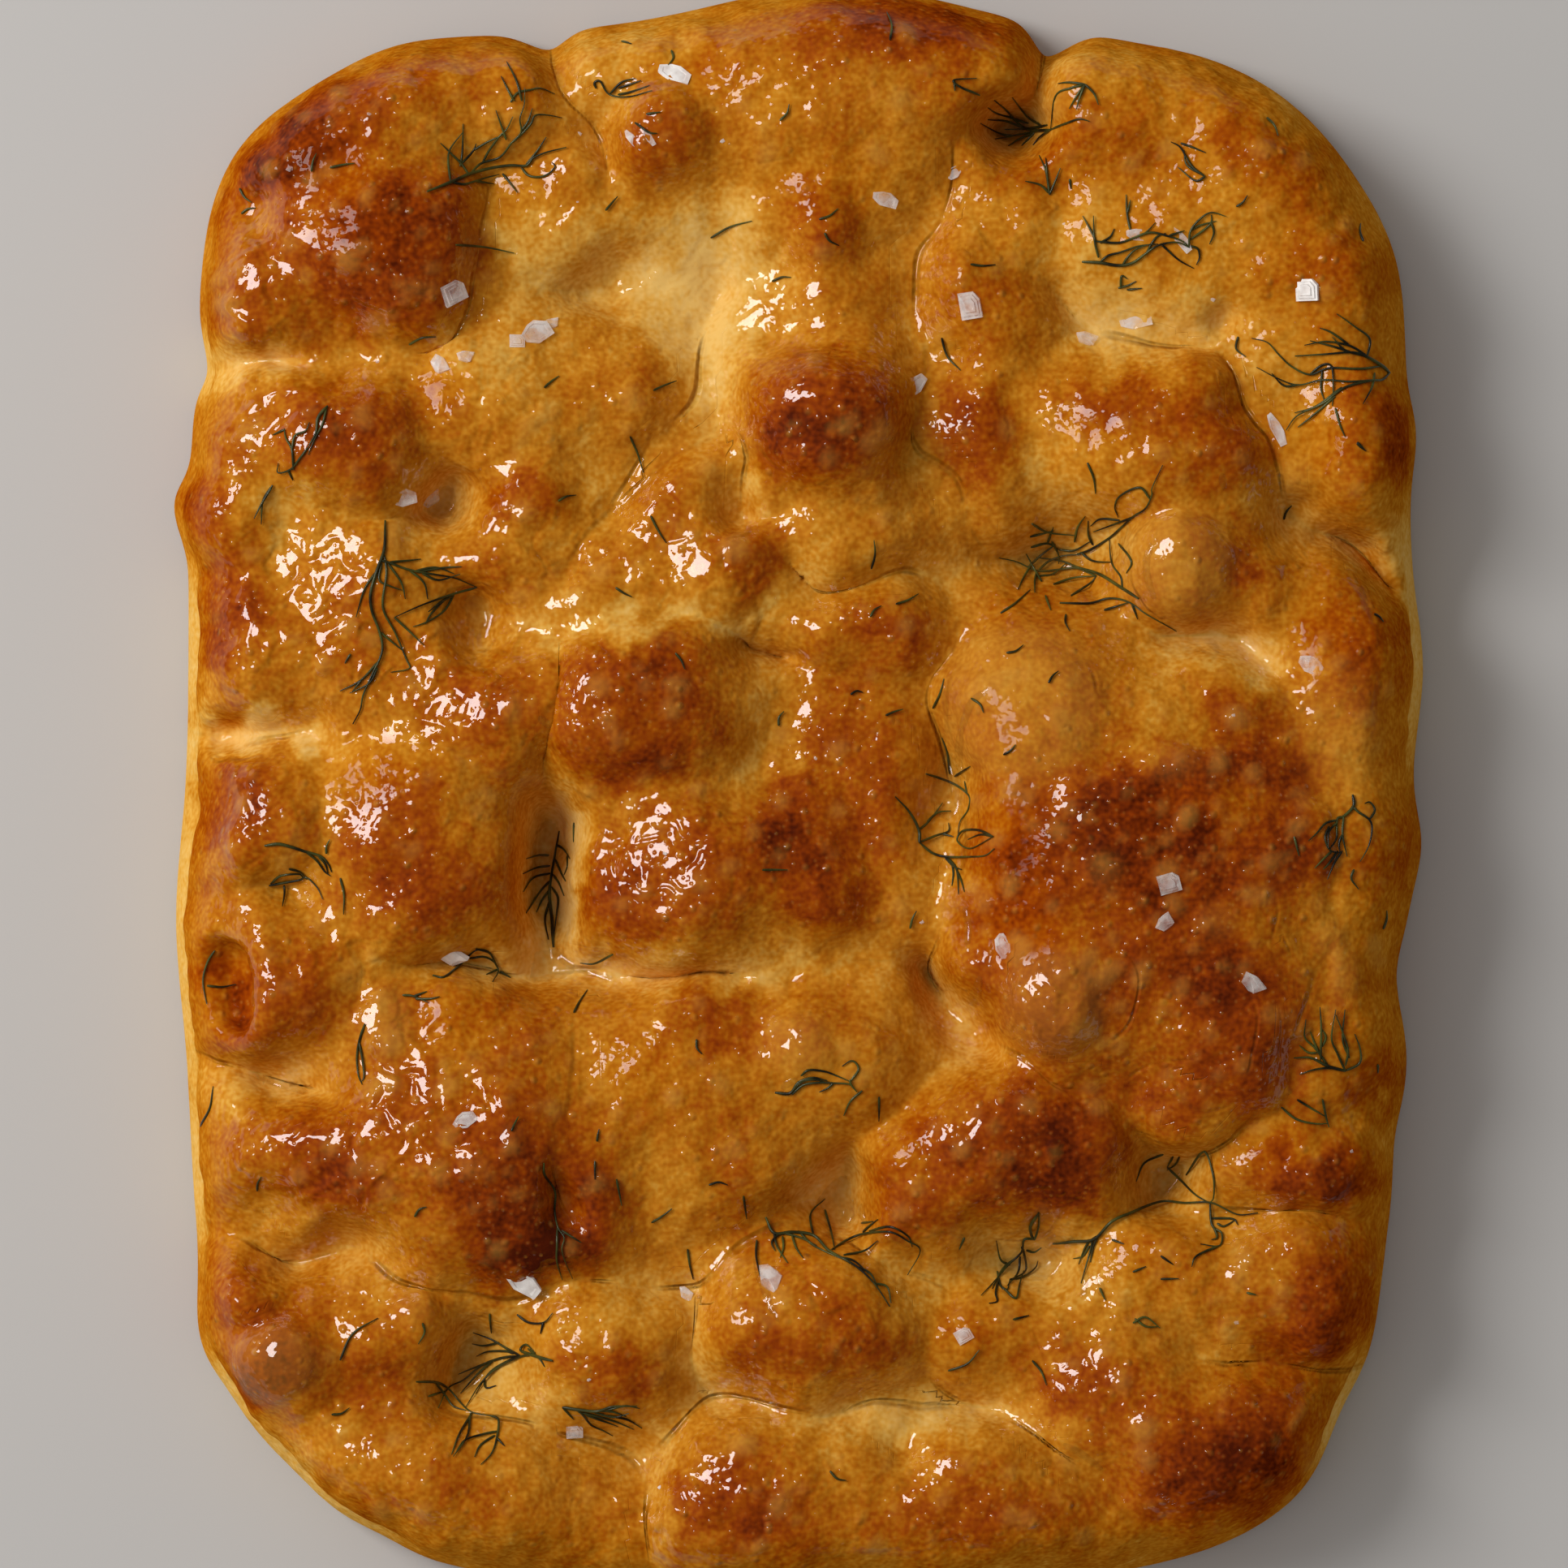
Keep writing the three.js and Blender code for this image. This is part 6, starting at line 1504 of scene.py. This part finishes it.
GRAIN_FIELD = (90, 115)  # they lie this far from the middle at most
GRAIN_SIZE = (0.4, 0.8)
FLAKE_TILT, GRAIN_TILT = 0.12, 0.3
TO_LIGHT = (-0.24, 0.10)  # cloudy flakes lean this much more towards the window
LEVELLING = 0.6  # how much nearer to level a flake lies than the crust under it
CLEAR = 0.35  # the most cloud in a clear flake
SINK = 0.12  # how far a flake sits in the oil, in millimetres
FLAT = 0.8  # thickness of a crystal of one unit, against its width


def place_crystal(x, y, length, width, turn, source, tilt):
    """Points of one crystal, set on the crust and turned to its slope."""
    point, normal = crust_at(x, y)
    normal = (normal + Vector((*tilt, LEVELLING))).normalized()
    heading = Vector((math.cos(math.radians(turn)), math.sin(math.radians(turn)), 0))
    side = normal.cross(heading).normalized()
    along = side.cross(normal)
    scale = np.array((length, width, FLAT * min(length, width))) * MM
    local = read_points(CRYSTALS[source]) * scale
    local[:, 2] -= local[:, 2].min() + SINK * MM
    axes = np.array([along, side, normal])
    return np.array(point) + local @ axes


def join(pieces, name):
    start_afresh()
    for piece in pieces:
        piece.select_set(True)
    bpy.context.view_layer.objects.active = pieces[0]
    bpy.ops.object.join()
    pieces[0].name = name
    return pieces[0]


# %% Flakes and grains as one piece
dice = np.random.default_rng(77)
rows = [(*row, dice.uniform(-FLAKE_TILT, FLAKE_TILT, 2)) for row in FLAKES]
for number in WHITE:
    rows[number][-1][:] += TO_LIGHT
while len(rows) < len(FLAKES) + GRAINS:
    x, y = (dice.uniform(-reach, reach) for reach in GRAIN_FIELD)
    size = dice.uniform(*GRAIN_SIZE)
    rows.append((x, y, size, size * dice.uniform(0.7, 1), dice.uniform(0, 90), 2,
                 dice.uniform(-GRAIN_TILT, GRAIN_TILT, 2)))
copies = []
for number, (*row, tilt) in enumerate(rows):
    source = CRYSTALS[row[-1]]
    copy = bpy.data.objects.new("salt_copy", source.data.copy())
    bpy.context.scene.collection.objects.link(copy)
    write_points(copy, place_crystal(*row, tilt))
    cloud = 1.0 if number in WHITE else dice.uniform(0, CLEAR)
    set_attribute(copy, "cloudy", np.full(len(copy.data.vertices), cloud))
    copies.append(copy)
salt = join(copies, "salt_crystals")
for source in CRYSTALS:
    bpy.data.objects.remove(source)
print("salt:", len(rows), "crystals,", len(salt.data.polygons), "faces")

# %% [markdown]
# Salt is clear, but its steps and cracks scatter the light, so a flake looks like frosted ice, and
# one that is full of cracks is nearly white. Part of the light is let through and part is scattered,
# and a rough surface keeps it from looking like glass.

# %% Salt material
salt_crystal, tree, shader = new_material("flaky_salt")
cracks = noise(tree, 480, 3.0)
cloud = add_node(tree, "ShaderNodeMapRange", {"Value": cracks, "From Min": 0.35, "From Max": 0.65,
                                              "To Min": 0.10, "To Max": 0.42}).outputs[0]
set_values(tree, shader, {
    "Base Color": (0.95, 0.91, 0.88, 1), "Roughness": 0.28, "IOR": 1.5,
    "Alpha": maths(tree, "MULTIPLY_ADD", stored(tree, "cloudy"), 0.55, cloud, clamp=True),
    "Normal": bump(tree, cracks, 0.15),
})
salt.data.materials.append(salt_crystal)
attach(salt, "root")
print("nodes in the salt's material:", len(tree.nodes))

# %% [markdown]
# ## Oil
#
# Oil gathers in the finger holes and creeps in low rims along blisters and creases. Each pool is a
# patch that lies level where the crust is lower than the oil, and dips just under the crust around
# it, so its edge closes by itself. A rim is a thread that is sunk in the crust until only its
# rounded top shows. The oil is see-through and only a little golden. Here a faint, very shiny
# surface is mixed over the crust, which keeps the light on the crust below as real oil does.

# %% Pools: x, y, half length, half width, turn in degrees, how deep
POOLS = [
    (43, 37, 13, 8.5, 8, 1.3), (35, 106.5, 8, 6, 0, 1.2), (-41, -12, 5, 14, 0, 1.4),
    (-53, -92, 10, 7, 30, 1.3), (6, -67, 9, 7, 0, 1.3), (38, -76, 10, 7.5, 0, 1.3),
    (-57, 47, 6, 4, 15, 1), (24, -6, 6, 13, -6, 1.1), (-30, -28.5, 20, 4, 0, 0.8),
    (-53, 28, 7, 5, -40, 1.2), (58, -62, 7, 5, 25, 1.2),
]
POOL_STEP = 0.55
POOL_SUNK = 0.07  # how far the dry part of a patch lies under the crust
POOL_POWER = 4  # how suddenly a pool ends
POOL_CORE = 0.7  # the part of a patch that tells how low the hole is
POOL_BOTTOM = 8  # the lowest share of that part, in percent, counts as the bottom
THIN_FILM, NO_FILM = 0.1, 0.02


def pool_mesh(x, y, half_length, half_width, turn, deep):
    start_afresh()
    across = int(2 * half_length / POOL_STEP)
    along = int(2 * half_width / POOL_STEP)
    bpy.ops.mesh.primitive_grid_add(x_subdivisions=across, y_subdivisions=along, size=2)
    patch = bpy.context.object
    points = read_points(patch)
    cos, sin = math.cos(math.radians(turn)), math.sin(math.radians(turn))
    px = x + points[:, 0] * half_length * cos - points[:, 1] * half_width * sin
    py = y + points[:, 0] * half_length * sin + points[:, 1] * half_width * cos
    on_crust = np.array([crust_at(a, b)[0] for a, b in zip(px, py)])
    inside = np.clip(1 - np.hypot(points[:, 0], points[:, 1]) ** POOL_POWER, 0, 1)
    core = on_crust[inside > POOL_CORE, 2]
    oil_level = np.percentile(core, POOL_BOTTOM) + deep * MM
    film = np.maximum(oil_level - on_crust[:, 2], 0) * inside
    on_crust[:, 2] += film - POOL_SUNK * MM * (film < THIN_FILM * MM)
    write_points(patch, on_crust)
    hidden = film < NO_FILM * MM
    bpy.ops.object.mode_set(mode="EDIT")
    bpy.ops.mesh.select_mode(type="VERT")
    bpy.ops.mesh.select_all(action="DESELECT")
    bpy.ops.object.mode_set(mode="OBJECT")
    patch.data.vertices.foreach_set("select", hidden)
    bpy.ops.object.mode_set(mode="EDIT")
    bpy.ops.mesh.select_less()
    bpy.ops.mesh.delete(type="VERT")
    bpy.ops.object.mode_set(mode="OBJECT")
    return patch


patches = [pool_mesh(*row) for row in POOLS]
print("pools:", len(patches), " faces:", sum(len(patch.data.polygons) for patch in patches))

# %% Rims of oil along blisters, creases and threads
RIMS = [
    (30, 16.5, 27.5, 14.5, 26.2, 11, 25.6, 7.5, 25.8, 4.5, 27.2, 2.5), (-40.6, -18.8, -40.8, -21.7,
    -39.6, -24.6, -37.1, -26.8, -33.3, -28.8, -30, -30), (56.1, 39.5, 55.2, 37, 55.4, 34, 56.4, 31.2),
    (33.3, 37, 33.4, 35, 34.4, 33.4, 35.4, 32.4), (11.8, -71.2, 13, -70.4, 15.2, -70.4, 17.2, -71.6),
    (39.6, -72.1, 40.4, -71.1, 43.5, -70.3), (-2.8, -46.6, -1.8, -45.6, -0.4, -44.9), (26.5, -18, 27, -21,
    26.8, -24), (28.8, -28.6, 28.2, -31, 27.3, -33), (45, -74, 45.6, -77, 45.3, -80), (47.5, -77,
    48.2, -78.6, 47.8, -80), (42, -103, 45, -104.6, 48, -107), (-7, -74, -5.4, -79, -3.2, -84), (10, -66,
    10.6, -68), (-87, -45.6, -83, -46.8, -79, -48), (16, -77.6, 15.6, -79.2, 16.6, -80.4), (-39.6, 11,
    -41.6, 12.4), (70.8, 59, 71.6, 56), (66.4, 51, 67, 48.6),
]
RIM_RADIUS = 1.0
RIM_HEIGHT_SHOWN = 0.17
RIM_STIFFNESS = 4


def rim_mesh(points):
    """A thread of oil, sunk in the crust so far that only its top shows, and sunk away at its ends."""
    laid = lay(points, RIM_HEIGHT_SHOWN - RIM_RADIUS, RIM_STIFFNESS)
    thinnest = 1 - 1.3 * RIM_HEIGHT_SHOWN / RIM_RADIUS
    along = np.linspace(0, 1, len(laid))
    shares = thinnest + (1 - thinnest) * np.maximum(np.sin(math.pi * along), 0) ** 0.5
    return tubes("oil_rim", RIM_RADIUS, 6, [(laid, shares)])


patches += [rim_mesh(points) for points in RIMS]
oil = join(patches, "olive_oil")
bpy.ops.object.shade_smooth()
print("rims:", len(RIMS))

# %% Oil material
olive_oil, tree, shader = new_material("olive_oil")
set_values(tree, shader, {
    "Base Color": (0.30, 0.14, 0.012, 1), "Alpha": 0.13, "IOR": 3.0, "Roughness": 0.05,
    "Normal": bump(tree, noise(tree, 260, 1.0), 0.08),
})
oil.data.materials.append(olive_oil)
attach(oil, "root")
print("oil faces:", len(oil.data.polygons))

# %% [markdown]
# ## Floor, light and camera
#
# The loaf lies on a plain pale floor. One large soft light stands low on the left, like a window,
# so the lobes throw soft shadows to the right and the oil shines on their left sides. The camera
# looks straight down, and a long lens keeps the sides of the loaf from spreading.

# %% Floor
start_afresh()
bpy.ops.mesh.primitive_plane_add(size=6, location=(0, 0, -0.0002))
floor = bpy.context.object
floor.name = "floor"
floor_material, floor_tree, floor_shader = new_material("pale_floor")
set_values(floor_tree, floor_shader, {"Base Color": (0.52, 0.51, 0.50, 1), "Roughness": 0.7})
floor.data.materials.append(floor_material)
print("floor level in mm:", round(floor.location.z / MM, 1))

# %% Light
WINDOW_PLACE = Vector((-0.80, 0.38, 0.95))
WINDOW_POWER = 9.9
WINDOW_SIZE = (0.50, 0.54)
BRIGHT_SIDE = (-0.83, 0.25, 0.50)  # the room's walls are brightest around the window
ROOM_STRENGTH = 0.78
ROOM_DARKEST = 0.27
MIRRORED = 0.08  # share of the room's light that the oil mirrors
GLOW_START, GLOW_POWER = -0.2, 3  # how the bright side fades into the rest of the room


def aim(thing, target):
    thing.rotation_euler = (Vector(target) - thing.location).to_track_quat("-Z", "Y").to_euler()


window = bpy.data.objects.new("window_light", bpy.data.lights.new("window_light", "AREA"))
bpy.context.scene.collection.objects.link(window)
window.data.shape = "RECTANGLE"
window.data.size, window.data.size_y = WINDOW_SIZE
window.data.energy = WINDOW_POWER
window.data.color = (1.0, 0.985, 0.97)
window.location = WINDOW_PLACE
aim(window, (0, 0, 0.02))

world = bpy.data.worlds.new("room")
world.use_nodes = True
room_tree = world.node_tree
direction = add_node(room_tree, "ShaderNodeTexCoord").outputs["Generated"]
toward = add_node(room_tree, "ShaderNodeVectorMath", {0: direction, 1: BRIGHT_SIDE},
                  operation="DOT_PRODUCT").outputs["Value"]
share = add_node(room_tree, "ShaderNodeMapRange", {"Value": toward, "From Min": GLOW_START})
glow = maths(room_tree, "POWER", share.outputs[0], GLOW_POWER)
strength = maths(room_tree, "MULTIPLY_ADD", glow, ROOM_STRENGTH, ROOM_DARKEST)
in_a_mirror = add_node(room_tree, "ShaderNodeLightPath").outputs["Is Glossy Ray"]
kept = maths(room_tree, "MULTIPLY_ADD", in_a_mirror, MIRRORED - 1, 1.0)
strength = maths(room_tree, "MULTIPLY", strength, kept)
room = room_tree.nodes["Background"]
room.inputs["Color"].default_value = (1.0, 0.97, 0.93, 1)
room_tree.links.new(strength, room.inputs["Strength"])
bpy.context.scene.world = world
print("window at", tuple(round(c, 2) for c in WINDOW_PLACE), "power", WINDOW_POWER)

# %% Camera
CAMERA_HEIGHT = 1.2
SHARP_LEVEL = 0.020
VIEW_WIDTH = 0.2466  # how much the square view takes in at that level
VIEW_MIDDLE = (-2.53, 1.56)  # in the tables' millimetres
camera = bpy.data.objects.new("camera", bpy.data.cameras.new("camera"))
bpy.context.scene.collection.objects.link(camera)
bpy.context.scene.camera = camera
camera.location = Vector(to_frame(*VIEW_MIDDLE, CAMERA_HEIGHT / MM))
camera.data.lens = camera.data.sensor_width * (CAMERA_HEIGHT - SHARP_LEVEL) / VIEW_WIDTH
camera.data.clip_start = 0.05
bpy.context.scene.view_settings.view_transform = "Standard"
print("camera at", [round(c, 4) for c in camera.location], "lens", round(camera.data.lens, 1))
